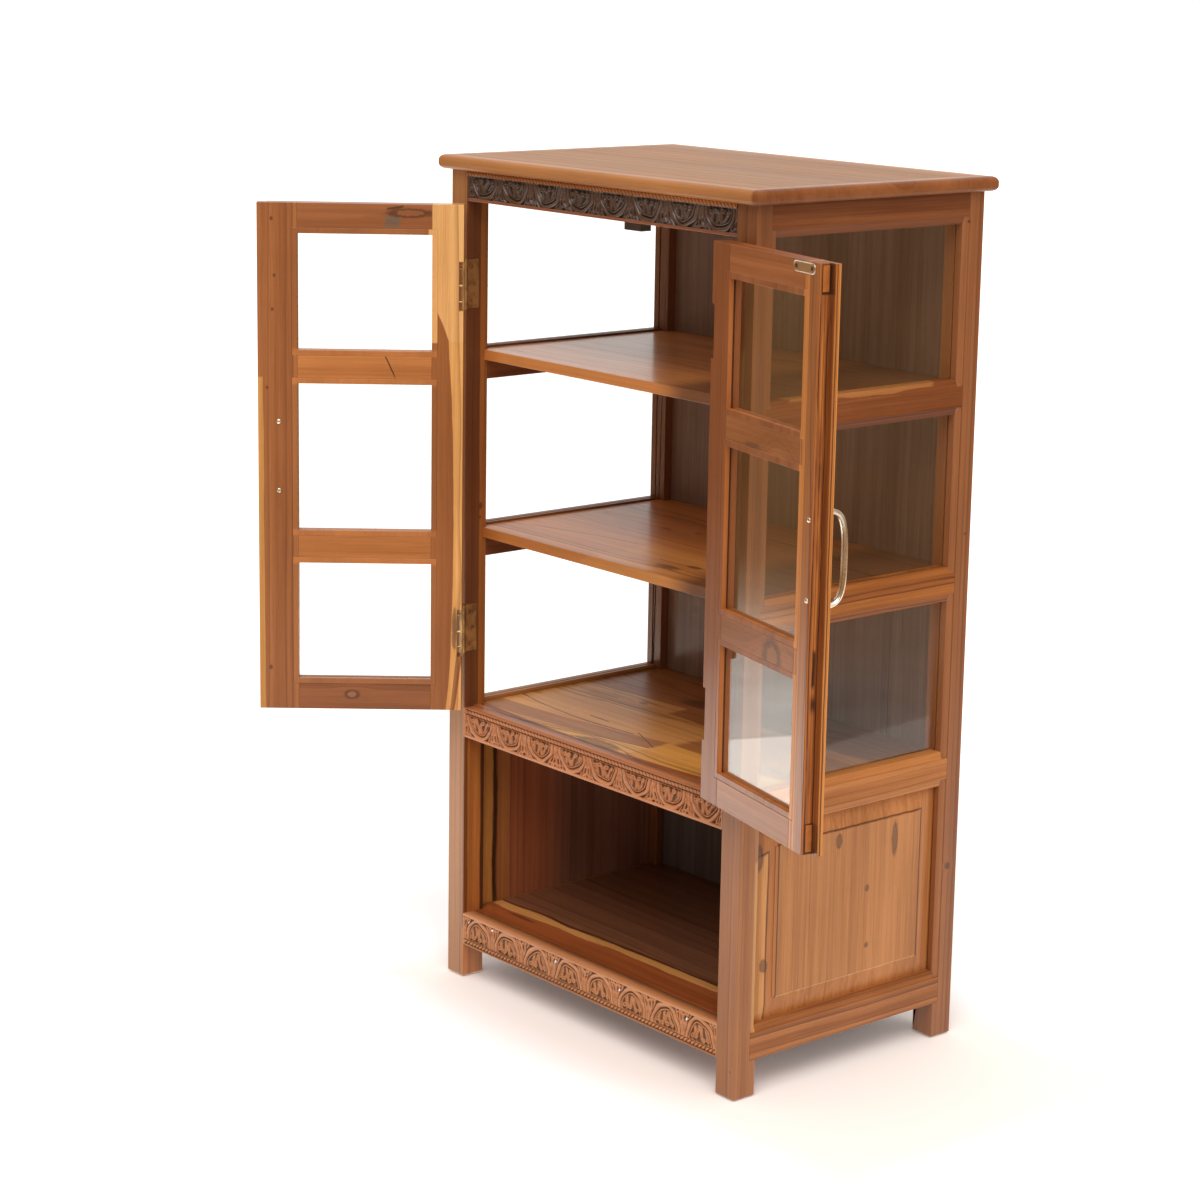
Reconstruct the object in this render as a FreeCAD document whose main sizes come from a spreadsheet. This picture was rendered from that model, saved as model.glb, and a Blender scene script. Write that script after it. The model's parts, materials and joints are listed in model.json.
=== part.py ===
import FreeCAD, Part
import os
import re

import Sketcher

# Glazed book cabinet on four square posts, with two hinged doors over an open compartment.
# Millimetres, +Z up, front towards -Y. The origin is on the floor, under the middle of the carcass.
# The doors stand open, as photographed. Each door is drawn closed about its own hinge pin,
# then turned by its open angle.

# Driving dimensions, one plain number each
sizes = {
    # carcass
    "overall_height": 1220,
    "carcass_width": 638,
    "carcass_depth": 416,
    "post_size": 37,
    "foot_chamfer": 2.5,
    "rail_thickness": 24,
    "floor_clearance": 52,
    "bottom_rail_height": 48,
    "middle_board_top": 416,
    "middle_frieze_height": 44,
    "top_frieze_height": 43,
    "panel_rail_rise": 6,
    "middle_rail_height": 48,
    "shelf_rail_rise": 3,
    "back_inset": 2,
    # top
    "top_thickness": 20,
    "top_overhang": 14,
    "top_back_overhang": 12,
    "edging_width": 24,
    "edging_round": 8,
    "edging_tongue_thickness": 6,
    "edging_tongue_length": 6,
    "bead_strip_height": 7,
    "bead_strip_projection": 2.5,
    "dowel_radius": 4,
    "dowel_inset": 17,
    "dowel_from_middle": 110,
    "dowel_depth_below": 20,
    "dowel_depth_above": 12,
    # joinery
    "tenon_thickness": 8,
    "tenon_length": 16,
    "tenon_shoulder": 9,
    "side_tenon_setback": 12,
    "front_tenon_setback": 7,
    "back_tenon_setback": 5,
    "mortise_end_gap": 0.5,
    # moulding worked around each framed opening
    "moulding_width": 10,
    "moulding_depth": 4.2,
    "moulding_step": 1.2,
    # side glass and lower side panels
    "glass_thickness": 3,
    "glass_setback": 15,
    "glass_groove": 8,
    "glass_edge_gap": 0.3,
    "groove_side_gap": 0.3,
    "panel_groove": 8,
    "panel_edge_gap": 0.5,
    "panel_tongue": 6,
    "panel_tongue_setback": 13.6,
    "panel_bevel_rise": 4.6,
    "panel_field_step": 1.5,
    "panel_margin_across": 35,
    "panel_margin_up": 30,
    # shelves and boards
    "upper_shelf_place_share": 0.672,
    "lower_shelf_place_share": 0.34,
    "shelf_thickness": 15,
    "shelf_front_setback": 31,
    "board_thickness": 18,
    "board_edge_gap": 0.3,
    "cleat_thickness": 13,
    "shelf_cleat_height": 28,
    "board_cleat_height": 22,
    # back
    "back_board_thickness": 10,
    "back_board_setback": 4,
    "back_board_count": 6,
    "back_tongue": 3.4,
    "back_tongue_length": 4,
    "back_groove": 8,
    "back_groove_gap": 0.3,
    # carved friezes
    "carving_depth": 3.5,
    "carving_border": 4,
    "rope_band_height": 7,
    "cup_count": 8,
    "cup_rim": 5,
    "cup_margin": 1,
    "petal_width": 6,
    "stem_width": 2.4,
    # doors
    "door_thickness": 24,
    "door_top_gap": 3,
    "door_bottom_gap": 5,
    "door_hinge_gap": 2,
    "door_meeting_gap": 2,
    "door_stile_width": 44.5,
    "door_top_rail_height": 43,
    "door_bottom_rail_height": 46,
    "door_glass_setback": 13,
    "door_rebate": 8,
    "meeting_lap": 12,
    "lap_outer_thickness": 8,
    "lap_clearance": 0.8,
    "door_tenon_thickness": 9,
    "door_tenon_setback": 9,
    "door_tenon_length": 22,
    "door_tenon_end_shoulder": 3,
    "left_door_open_angle": 129,
    "right_door_open_angle": 166,
    # hinges
    "hinge_height": 70,
    "hinge_inset": 80,
    "hinge_leaf_width": 20,
    "hinge_leaf_thickness": 2.5,
    "hinge_leaf_gap": 0.3,
    "hinge_knuckle_radius": 4.5,
    "hinge_knuckle_gap": 0.3,
    "hinge_knuckle_count": 5,
    "hinge_pin_radius": 2.2,
    "hinge_pin_clearance": 0.05,
    "hinge_pin_tip": 1.5,
    "hinge_pin_tip_radius": 3.2,
    "hinge_pin_setout": 5,
    "hinge_screw_spacing": 24,
    "hinge_screw_stagger": 2.5,
    "hinge_screw_radius": 1.6,
    "hinge_screw_head_radius": 3.2,
    "hinge_screw_head_height": 1.7,
    "hinge_screw_length": 16,
    # pulls
    "pull_middle_height": 793,
    "pull_hole_spacing": 100,
    "pull_edge_distance": 17.5,
    "pull_length": 134,
    "pull_grip_length": 76,
    "pull_projection": 31,
    "pull_width": 12,
    "pull_strap_thickness": 5,
    "pull_foot_length": 26,
    "pull_foot_thickness": 3,
    "pull_neck_share": 0.34,
    "pull_neck_place_share": 0.45,
    "pull_bend_share": 0.84,
    "pull_bend_place_share": 0.45,
    "pull_bolt_radius": 2,
    "pull_bolt_depth": 6,
    "pull_bolt_head_radius": 3.8,
    "pull_bolt_head_height": 2.2,
    "pull_bolt_slot": 0.8,
    # catch and strike
    "catch_width": 34,
    "catch_depth": 19,
    "catch_drop": 14,
    "catch_rise": 18,
    "catch_running_gap": 0.4,
    "catch_screw_radius": 1.5,
    "catch_screw_head_radius": 2.8,
    "catch_screw_head_height": 1.2,
    "catch_screw_bite": 12,
    "catch_screw_spacing": 20,
    "catch_screw_height": 9,
    "strike_length": 54,
    "strike_height": 15,
    "strike_thickness": 1.5,
    "strike_recess": 0.7,
    "strike_top_gap": 1,
    "strike_edge_distance": 47,
    "strike_screw_spacing": 38,
    "strike_screw_radius": 1.3,
    "strike_screw_head_radius": 2.6,
    "strike_screw_head_height": 1,
    "strike_screw_length": 10,
    # how far a cutting shape runs past the wood
    "overrun": 5,
}

# Places that follow from the driving dimensions
places = {
    "half_width": "carcass_width / 2",
    "half_depth": "carcass_depth / 2",
    "post_inner_x": "half_width - post_size",
    "post_inner_y": "half_depth - post_size",
    "rail_inner_x": "half_width - rail_thickness",
    "carcass_height": "overall_height - top_thickness",
    "bottom_rail_top": "floor_clearance + bottom_rail_height",
    "middle_frieze_bottom": "middle_board_top - middle_frieze_height",
    "panel_rail_top": "middle_board_top + panel_rail_rise",
    "glazed_height": "carcass_height - middle_board_top",
    "lower_shelf_top": "middle_board_top + lower_shelf_place_share * glazed_height",
    "upper_shelf_top": "middle_board_top + upper_shelf_place_share * glazed_height",
    "lower_rail_top": "lower_shelf_top + shelf_rail_rise",
    "lower_rail_bottom": "lower_rail_top - middle_rail_height",
    "upper_rail_top": "upper_shelf_top + shelf_rail_rise",
    "upper_rail_bottom": "upper_rail_top - middle_rail_height",
    "top_rail_bottom": "carcass_height - top_frieze_height",
    "front_rail_back_y": "half_depth - rail_thickness",
    "back_outer_y": "half_depth - back_inset",
    "back_rail_inner_y": "back_outer_y - rail_thickness",
    "back_board_inner_y": "back_rail_inner_y + back_board_setback",
    "back_board_outer_y": "back_board_inner_y + back_board_thickness",
    "glass_outer_x": "half_width - glass_setback",
    "glass_inner_x": "glass_outer_x - glass_thickness",
    "panel_outer_x": "half_width - panel_tongue_setback",
    "panel_back_x": "panel_outer_x - panel_tongue",
    # sizes on a door count across it from the hinge pin, and inwards from the pin
    "hinge_edge": "door_hinge_gap / 2",
    "pin_x": "post_inner_x - door_hinge_gap / 2",
    "pin_y": "-half_depth - hinge_pin_setout",
    "outer_edge": "pin_x - door_meeting_gap / 2",
    "near_sight": "hinge_edge + door_stile_width",
    "far_sight": "outer_edge - door_stile_width",
    "lip_edge": "outer_edge + meeting_lap",
    "lip_seat_edge": "outer_edge - meeting_lap",
    "door_outer": "hinge_pin_setout",
    "door_inner": "door_outer + door_thickness",
    "door_glass_outer": "door_outer + door_glass_setback",
    "door_glass_inner": "door_glass_outer + glass_thickness",
    "door_tenon_outer": "door_outer + door_tenon_setback",
    "door_tenon_inner": "door_tenon_outer + door_tenon_thickness",
    "lip_outer_face": "door_outer + lap_outer_thickness + lap_clearance / 2",
    "lip_inner_face": "door_outer + lap_outer_thickness - lap_clearance / 2",
    "door_low": "middle_board_top + door_bottom_gap",
    "door_high": "top_rail_bottom - door_top_gap",
    "door_low_sight": "door_low + door_bottom_rail_height",
    "door_high_sight": "door_high - door_top_rail_height",
    "upper_hinge_low": "door_high - hinge_inset - hinge_height",
    "lower_hinge_low": "door_low + hinge_inset",
    "knuckle_pitch": "hinge_height / hinge_knuckle_count",
    "leaf_near": "hinge_leaf_gap / 2",
    "leaf_far": "hinge_leaf_gap / 2 + hinge_leaf_thickness",
    "leaf_inner": "door_outer + hinge_leaf_width",
    "pull_place": "outer_edge - pull_edge_distance",
    "strike_place": "outer_edge - strike_edge_distance",
    "catch_from_middle": "pin_x - strike_place",
    "strike_face": "door_inner + strike_thickness - strike_recess",
    "strike_middle": "door_high - strike_top_gap - strike_height / 2",
    "catch_front_y": "pin_y + strike_face + catch_running_gap",
}

doc = FreeCAD.newDocument("book_cabinet")
sheet = doc.addObject("Spreadsheet::Sheet", "sizes")
for row, (alias, number) in enumerate(sizes.items(), start=1):
    sheet.set(f"A{row}", alias)
    sheet.set(f"B{row}", str(number))
    sheet.setAlias(f"B{row}", alias)
doc.recompute()

vector = FreeCAD.Vector
nodes = []
sides = {"left": -1, "right": 1}


def spell(formula):
    # writes a formula in cells of the sheet, with each place worked out from them
    def swap(match):
        word = match.group(0)
        if word in places:
            return "(" + spell(places[word]) + ")"
        if word in sizes:
            return "sizes." + word
        return word

    return re.sub(r"[A-Za-z_]\w*", swap, formula)


def bind(thing, field, formula):
    thing.setExpression(field, spell(formula))


def span(sign, near, far):
    # a span measured from the middle outwards, as its low and high ends on one side
    if sign > 0:
        return near, far
    return f"-({far})", f"-({near})"


def both_ways(far):
    return f"-({far})", far


def spot_on(sign, formula):
    return formula if sign > 0 else f"-({formula})"


def block(name, across, deep, high):
    # a rectangular piece between low and high ends along X, Y and Z
    piece = doc.addObject("Part::Box", name)
    fields = (("x", "Length", across), ("y", "Width", deep), ("z", "Height", high))
    for axis, field, (low_end, high_end) in fields:
        bind(piece, field, f"({high_end}) - ({low_end})")
        bind(piece, "Placement.Base." + axis, low_end)
    return piece


turns = {
    "+x": FreeCAD.Rotation(vector(0, 1, 0), 90),
    "-x": FreeCAD.Rotation(vector(0, 1, 0), -90),
    "+y": FreeCAD.Rotation(vector(1, 0, 0), -90),
    "-y": FreeCAD.Rotation(vector(1, 0, 0), 90),
    "+z": FreeCAD.Rotation(),
}


def put(piece, spot, way="+z"):
    # stands a piece at a spot, with its own Z pointing one way
    piece.Placement = FreeCAD.Placement(vector(), turns[way])
    for axis, formula in zip("xyz", spot):
        bind(piece, "Placement.Base." + axis, formula)
    return piece


def rod(name, radius, length, spot, way="+z"):
    piece = doc.addObject("Part::Cylinder", name)
    bind(piece, "Radius", radius)
    bind(piece, "Height", length)
    return put(piece, spot, way)


def cone(name, first_radius, last_radius, length, spot, way="+z"):
    piece = doc.addObject("Part::Cone", name)
    bind(piece, "Radius1", first_radius)
    bind(piece, "Radius2", last_radius)
    bind(piece, "Height", length)
    return put(piece, spot, way)


def taper(name, axis, run, low_face, high_face):
    # a block that changes size along one axis, between a rectangle at its low end
    # and one at its high end; each rectangle lists its spans in X, Y, Z order
    piece = doc.addObject("Part::Wedge", name)
    bind(piece, "Ymin", run[0])
    bind(piece, "Ymax", run[1])
    for (first, second), number in ((low_face, ""), (high_face, "2")):
        if axis == "x":
            first, second = span(-1, *first), second
        if axis == "z":
            first, second = first, span(-1, *second)
        for letter, (low_end, high_end) in (("X", first), ("Z", second)):
            bind(piece, letter + number + "min", low_end)
            bind(piece, letter + number + "max", high_end)
    turn = {"x": (vector(0, 0, 1), -90), "y": (vector(0, 0, 1), 0), "z": (vector(1, 0, 0), 90)}[axis]
    piece.Placement = FreeCAD.Placement(vector(), FreeCAD.Rotation(*turn))
    return piece


def fuse(name, pieces):
    result = doc.addObject("Part::MultiFuse", name)
    result.Shapes = pieces
    result.Refine = True
    return result


def group(name, pieces):
    result = doc.addObject("Part::Compound", name)
    result.Links = pieces
    return result


def carve(name, base, tools):
    # takes one tool after another out of a piece
    for number, tool in enumerate(tools, start=1):
        result = doc.addObject("Part::Cut", name if number == len(tools) else f"{name}_cut{number}")
        result.Base = base
        result.Tool = tool
        result.Refine = True
        base = result
    return base


def keep(label, piece):
    piece.Label = label
    nodes.append(piece)
    return piece


def plane(body, role):
    return [item for item in body.Origin.OriginFeatures if item.Role == role][0]


def outline(body, name, role, points):
    # a closed outline in one of the body's own planes, each corner tied to the sheet
    sketch = body.newObject("Sketcher::SketchObject", name)
    sketch.AttachmentSupport = [(plane(body, role), "")]
    sketch.MapMode = "FlatFace"
    count = len(points)
    corners = [FreeCAD.Rotation(360 * index / count, 0, 0).multVec(vector(1, 0, 0)) for index in range(count)]
    for index in range(count):
        sketch.addGeometry(Part.LineSegment(corners[index], corners[(index + 1) % count]))
    for index in range(count):
        sketch.addConstraint(Sketcher.Constraint("Coincident", index, 2, (index + 1) % count, 1))
    for index, (first, second) in enumerate(points):
        for kind, letter, formula, axis in (("DistanceX", "u", first, -2), ("DistanceY", "v", second, -1)):
            if formula == "0":
                sketch.addConstraint(Sketcher.Constraint("PointOnObject", index, 1, axis))
                continue
            number = sketch.addConstraint(Sketcher.Constraint(kind, -1, 1, index, 1, 1))
            sketch.renameConstraint(number, f"corner{index}{letter}")
            bind(sketch, f"Constraints.corner{index}{letter}", formula)
    return sketch


def pad(body, sketch, length):
    feature = body.newObject("PartDesign::Pad", body.Name + "_pad")
    feature.Profile = sketch
    bind(feature, "Length", length)
    return feature


# Frame members and the openings between them, from the floor up
side_openings = [
    ("panel", "bottom_rail_top", "middle_frieze_bottom"),
    ("lower_pane", "panel_rail_top", "lower_rail_bottom"),
    ("middle_pane", "lower_rail_top", "upper_rail_bottom"),
    ("upper_pane", "upper_rail_top", "top_rail_bottom"),
]
side_rails = [
    ("bottom_rail", "floor_clearance", "bottom_rail_top"),
    ("panel_rail", "middle_frieze_bottom", "panel_rail_top"),
    ("lower_rail", "lower_rail_bottom", "lower_rail_top"),
    ("upper_rail", "upper_rail_bottom", "upper_rail_top"),
    ("top_rail", "top_rail_bottom", "carcass_height"),
]
cross_rails = [
    ("bottom", "floor_clearance", "bottom_rail_top"),
    ("middle", "middle_frieze_bottom", "middle_board_top"),
    ("top", "top_rail_bottom", "carcass_height"),
]
back_fields = [
    ("lower", "bottom_rail_top", "middle_frieze_bottom"),
    ("upper", "middle_board_top", "top_rail_bottom"),
]


def grown(low_end, high_end, growth):
    return f"{low_end} - {growth}", f"{high_end} + {growth}"


def side_opening_tools(side):
    # moulding and groove around each opening of one side frame, and the seats over the posts
    sign = sides[side]
    tools = []
    for opening, low_end, high_end in side_openings:
        name = f"{side}_{opening}"
        groove = "panel" if opening == "panel" else "glass"
        inner_face = "panel_back_x" if opening == "panel" else "glass_inner_x"
        outer_face = "panel_outer_x" if opening == "panel" else "glass_outer_x"
        wide = (both_ways("post_inner_y + moulding_width"), grown(low_end, high_end, "moulding_width"))
        tight = (both_ways("post_inner_y"), (low_end, high_end))
        tools.append(block(
            name + "_step", span(sign, "half_width - moulding_step", "half_width + overrun"), *wide,
        ))
        run = span(sign, "half_width - moulding_depth", "half_width - moulding_step")
        faces = (tight, wide) if sign > 0 else (wide, tight)
        tools.append(taper(name + "_slope", "x", run, *faces))
        tools.append(block(
            name + "_groove",
            span(sign, f"{inner_face} - groove_side_gap", f"{outer_face} + groove_side_gap"),
            both_ways(f"post_inner_y + {groove}_groove"),
            grown(low_end, high_end, groove + "_groove"),
        ))
    return fuse(f"{side}_opening_tools", tools)


def side_rail_ear(side, rail, low_end, high_end):
    # the thin face that laps over the posts, up to the outer edge of the moulding
    ear_low = low_end if rail == "bottom_rail" else f"{low_end} + moulding_width"
    ear_high = high_end if rail == "top_rail" else f"{high_end} - moulding_width"
    across = span(sides[side], "half_width - moulding_depth", "half_width")
    return block(
        f"{side}_{rail}_ear", across, both_ways("post_inner_y + moulding_width"), (ear_low, ear_high),
    )


def side_tenon(name, side, low_end, high_end, length):
    across = span(
        sides[side],
        "half_width - side_tenon_setback - tenon_thickness",
        "half_width - side_tenon_setback",
    )
    high = (f"{low_end} + tenon_shoulder", f"{high_end} - tenon_shoulder")
    return block(name, across, both_ways(f"post_inner_y + {length}"), high)


def cross_tenon(name, end, low_end, high_end, length):
    # tenons of the front friezes and the back rails
    near = f"half_depth - {end}_tenon_setback - tenon_thickness"
    far = f"half_depth - {end}_tenon_setback"
    if end == "back":
        near = "back_outer_y - back_tenon_setback - tenon_thickness"
        far = "back_outer_y - back_tenon_setback"
    deep = span(-1 if end == "front" else 1, near, far)
    high = (f"{low_end} + tenon_shoulder", f"{high_end} - tenon_shoulder")
    return block(name, both_ways(f"post_inner_x + {length}"), deep, high)


def build_side_frame(side, opening_tool):
    sign = sides[side]
    post_tools = []
    for rail, low_end, high_end in side_rails:
        name = f"{side}_{rail}"
        ear = side_rail_ear(side, rail, low_end, high_end)
        stick = block(
            name + "_stick", span(sign, "rail_inner_x", "half_width"), both_ways("post_inner_y"),
            (low_end, high_end),
        )
        tenon = side_tenon(name + "_tenon", side, low_end, high_end, "tenon_length")
        solid = fuse(name + "_solid", [stick, ear, tenon])
        tools = [opening_tool]
        if rail == "top_rail":
            tools.append(dowels[side])
        keep(name, carve(name, solid, tools))
        post_tools.append(ear)
        post_tools.append(side_tenon(
            name + "_mortise", side, low_end, high_end, "tenon_length + mortise_end_gap",
        ))
    return fuse(f"{side}_frame_mortises", post_tools)


def build_top_dowels():
    # dowels between the top side rails and the top
    made = {}
    for side, sign in sides.items():
        pair = []
        for number, where in enumerate(("-dowel_from_middle", "dowel_from_middle"), start=1):
            spot = (spot_on(sign, "half_width - dowel_inset"), where, "carcass_height - dowel_depth_below")
            pair.append(rod(
                f"{side}_top_dowel{number}", "dowel_radius", "dowel_depth_below + dowel_depth_above",
                spot,
            ))
        made[side] = group(f"{side}_top_dowels", pair)
    keep("top_dowels", group("top_dowels", list(made.values())))
    return made


def back_field_tools():
    tools = []
    for name, low_end, high_end in back_fields:
        deep = grown("back_board_inner_y", "back_board_outer_y", "back_groove_gap")
        across = both_ways("post_inner_x + back_groove")
        tools.append(block(f"{name}_back_groove", across, deep, grown(low_end, high_end, "back_groove")))
    return group("back_field_grooves", tools)


def build_post(end, side, tools):
    sign = sides[side]
    name = f"{end}_{side}_post"
    end_sign = -1 if end == "front" else 1
    across = span(sign, "post_inner_x", "half_width")
    deep = span(end_sign, "post_inner_y", "half_depth")
    stick = block(name + "_stick", across, deep, ("foot_chamfer", "carcass_height"))
    narrow = (
        span(sign, "post_inner_x + foot_chamfer", "half_width - foot_chamfer"),
        span(end_sign, "post_inner_y + foot_chamfer", "half_depth - foot_chamfer"),
    )
    foot = taper(name + "_foot", "z", ("0", "foot_chamfer"), narrow, (across, deep))
    keep(name, carve(name, fuse(name + "_solid", [stick, foot]), tools))


def build_frieze(name, low_end, high_end, rope_at_top):
    # a rail with a sunk band of cups and petals, between a rope band and a plain border
    stick = block(
        name + "_stick", both_ways("post_inner_x"), span(-1, "front_rail_back_y", "half_depth"),
        (low_end, high_end),
    )
    solid = fuse(
        name + "_solid",
        [stick, cross_tenon(name + "_tenon", "front", low_end, high_end, "tenon_length")],
    )
    below = "carving_border" if rope_at_top else "rope_band_height"
    above = "rope_band_height" if rope_at_top else "carving_border"
    ground_low = f"{low_end} + {below}"
    ground_high = f"{high_end} - {above}"
    deep = span(-1, "half_depth - carving_depth", "half_depth + overrun")
    ground = block(name + "_ground", both_ways("post_inner_x"), deep, (ground_low, ground_high))
    mouth = ground_high if rope_at_top else ground_low
    radius = f"({ground_high}) - ({ground_low}) - cup_margin"
    pitch = "2 * post_inner_x / cup_count"
    relief = []
    for index in range(sizes["cup_count"]):
        middle = f"-post_inner_x + {pitch} * ({index} + 1 / 2)"
        spot = (middle, "-half_depth - overrun", mouth)
        length = "carving_depth + overrun"
        outer = rod(f"{name}_cup{index}_outer", radius, length, spot, "+y")
        inner = rod(f"{name}_cup{index}_inner", f"{radius} - cup_rim", length, spot, "+y")
        relief.append(carve(f"{name}_cup{index}", outer, [inner]))
        petal = (f"{middle} - petal_width / 2", f"{middle} + petal_width / 2")
        relief.append(block(f"{name}_petal{index}", petal, deep, (ground_low, ground_high)))
        stem_place = f"{middle} + {pitch} / 2"
        stem = (f"{stem_place} - stem_width / 2", f"{stem_place} + stem_width / 2")
        if index < sizes["cup_count"] - 1:
            relief.append(block(f"{name}_stem{index}", stem, deep, (ground_low, ground_high)))
    hollow = carve(name + "_hollow", ground, [fuse(name + "_relief", relief)])
    tools = [hollow]
    if name == "top_frieze":
        tools.append(catch_screw_group)
    keep(name, carve(name, solid, tools))


def build_back_rails(groove_tool):
    rails = []
    for rail, low_end, high_end in cross_rails:
        name = f"back_{rail}_rail"
        stick = block(
            name + "_stick", both_ways("post_inner_x"), ("back_rail_inner_y", "back_outer_y"),
            (low_end, high_end),
        )
        solid = fuse(
            name + "_solid",
            [stick, cross_tenon(name + "_tenon", "back", low_end, high_end, "tenon_length")],
        )
        rails.append(carve(name, solid, [groove_tool]))
    keep("back_rails", group("back_rails", rails))


def build_back_boards():
    # upright boards, tongued and grooved along their edges
    boards = []
    count = sizes["back_board_count"]
    left_end = "-post_inner_x - back_groove + back_groove_gap"
    width = "2 * (post_inner_x + back_groove - back_groove_gap) / back_board_count"
    middle_y = "(back_board_inner_y + back_board_outer_y) / 2"
    for field, low_end, high_end in back_fields:
        high = (f"{low_end} - back_groove + back_groove_gap", f"{high_end} + back_groove - back_groove_gap")
        for index in range(count):
            name = f"{field}_back_board{index}"
            near = f"{left_end} + {index} * {width}"
            far = f"{left_end} + {index + 1} * {width}"
            board = block(name + "_stick", (near, far), ("back_board_inner_y", "back_board_outer_y"), high)
            if index < count - 1:
                deep = grown(middle_y, middle_y, "back_tongue / 2")
                tongue = block(name + "_tongue", (near, f"{far} + back_tongue_length"), deep, high)
                board = fuse(name + "_tongued", [board, tongue])
            if index > 0:
                deep = grown(middle_y, middle_y, "(back_tongue / 2 + back_groove_gap)")
                slot = block(
                    name + "_slot", (near, f"{near} + back_tongue_length + back_groove_gap"), deep, high,
                )
                board = carve(name, board, [slot])
            boards.append(board)
    keep("back_boards", group("back_boards", boards))


def build_inner_board(name, top, thickness, front, back):
    # a board between the side rails, with its ends notched around the posts
    high = (f"{top} - {thickness}", top)
    wide = block(
        name + "_wide", both_ways("rail_inner_x - board_edge_gap"),
        both_ways("post_inner_y - board_edge_gap"), high,
    )
    deep = (front, f"{back} - board_edge_gap")
    long = block(name + "_long", both_ways("post_inner_x - board_edge_gap"), deep, high)
    keep(name, fuse(name, [wide, long]))


def build_cleats():
    cleats = []
    seats = [
        ("upper_shelf", "upper_shelf_top - shelf_thickness", "shelf_cleat_height"),
        ("lower_shelf", "lower_shelf_top - shelf_thickness", "shelf_cleat_height"),
        ("middle_board", "middle_board_top - board_thickness", "board_cleat_height"),
        ("bottom_board", "bottom_rail_top - board_thickness", "board_cleat_height"),
    ]
    for seat, seat_height, cleat_height in seats:
        for side, sign in sides.items():
            across = span(sign, "rail_inner_x - cleat_thickness", "rail_inner_x")
            high = (f"{seat_height} - {cleat_height}", seat_height)
            cleats.append(block(
                f"{side}_{seat}_cleat", across, both_ways("post_inner_y - board_edge_gap"), high,
            ))
    keep("shelf_cleats", group("shelf_cleats", cleats))


def build_side_glass():
    panes = []
    for side, sign in sides.items():
        for opening, low_end, high_end in side_openings[1:]:
            reach = "glass_groove - glass_edge_gap"
            panes.append(block(
                f"{side}_{opening}_glass",
                span(sign, "glass_inner_x", "glass_outer_x"),
                both_ways(f"post_inner_y + {reach}"),
                grown(low_end, high_end, f"({reach})"),
            ))
    keep("side_glass", group("side_glass", panes))


def build_side_panel(side):
    # a raised panel: tongue in the grooves, bevelled margin, and a flat field
    sign = sides[side]
    name = f"{side}_side_panel"
    low_end, high_end = side_openings[0][1:]
    reach = "panel_groove - panel_edge_gap"
    tongue = block(
        name + "_tongue",
        span(sign, "panel_back_x", "panel_outer_x"),
        both_ways(f"post_inner_y + {reach}"),
        grown(low_end, high_end, f"({reach})"),
    )
    edge = (
        both_ways("post_inner_y - panel_edge_gap"),
        (f"{low_end} + panel_edge_gap", f"{high_end} - panel_edge_gap"),
    )
    field = (
        both_ways("post_inner_y - panel_margin_across"),
        (f"{low_end} + panel_margin_up", f"{high_end} - panel_margin_up"),
    )
    bevel_run = span(sign, "panel_outer_x", "panel_outer_x + panel_bevel_rise")
    faces = (edge, field) if sign > 0 else (field, edge)
    bevel = taper(name + "_bevel", "x", bevel_run, *faces)
    field_run = span(
        sign, "panel_outer_x + panel_bevel_rise", "panel_outer_x + panel_bevel_rise + panel_field_step",
    )
    keep(name, fuse(name, [tongue, bevel, block(name + "_field", field_run, *field)]))


def build_top():
    outer_x = "half_width + top_overhang"
    inner_x = f"{outer_x} - edging_width"
    front = "-half_depth - top_overhang"
    back = "half_depth + top_back_overhang"
    inner_front = f"{front} + edging_width"
    inner_back = f"{back} - edging_width"
    high = ("carcass_height", "overall_height")
    middle = "overall_height - top_thickness / 2"
    board = block("top_board", both_ways(inner_x), (inner_front, inner_back), high)
    reach = "edging_tongue_length"
    tongue = block(
        "top_tongue",
        both_ways(f"{inner_x} + {reach}"),
        (f"{inner_front} - {reach}", f"{inner_back} + {reach}"),
        grown(middle, middle, "edging_tongue_thickness / 2"),
    )
    solid = fuse("top_solid", [board, tongue])
    keep("top_panel", carve("top_panel", solid, list(dowels.values())))
    corners = {
        "front": [
            (f"-({outer_x})", front), (outer_x, front), (inner_x, inner_front),
            (f"-({inner_x})", inner_front),
        ],
        "right": [(outer_x, front), (outer_x, back), (inner_x, inner_back), (inner_x, inner_front)],
        "back": [
            (outer_x, back), (f"-({outer_x})", back), (f"-({inner_x})", inner_back),
            (inner_x, inner_back),
        ],
        "left": [
            (f"-({outer_x})", back), (f"-({outer_x})", front), (f"-({inner_x})", inner_front),
            (f"-({inner_x})", inner_back),
        ],
    }
    outward = {
        "front": vector(0, -1, 0), "right": vector(1, 0, 0), "back": vector(0, 1, 0),
        "left": vector(-1, 0, 0),
    }
    strips = []
    for place, points in corners.items():
        body = doc.addObject("PartDesign::Body", f"{place}_edging_body")
        feature = pad(body, outline(body, f"{place}_edging_outline", "XY_Plane", points), "top_thickness")
        doc.recompute()
        reach = [edge.CenterOfMass.dot(outward[place]) for edge in feature.Shape.Edges]
        chosen = [
            f"Edge{number}"
            for number, edge in enumerate(feature.Shape.Edges, start=1)
            if reach[number - 1] > max(reach) - 0.001 and abs(edge.tangentAt(edge.FirstParameter).z) < 0.5
        ]
        rounding = body.newObject("PartDesign::Fillet", f"{place}_edging_round")
        rounding.Base = (feature, chosen)
        bind(rounding, "Radius", "edging_round")
        body.Tip = rounding
        bind(body, "Placement.Base.z", "carcass_height")
        strips.append(carve(f"{place}_edging", body, [tongue]))
    keep("top_edging", group("top_edging", strips))


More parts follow.
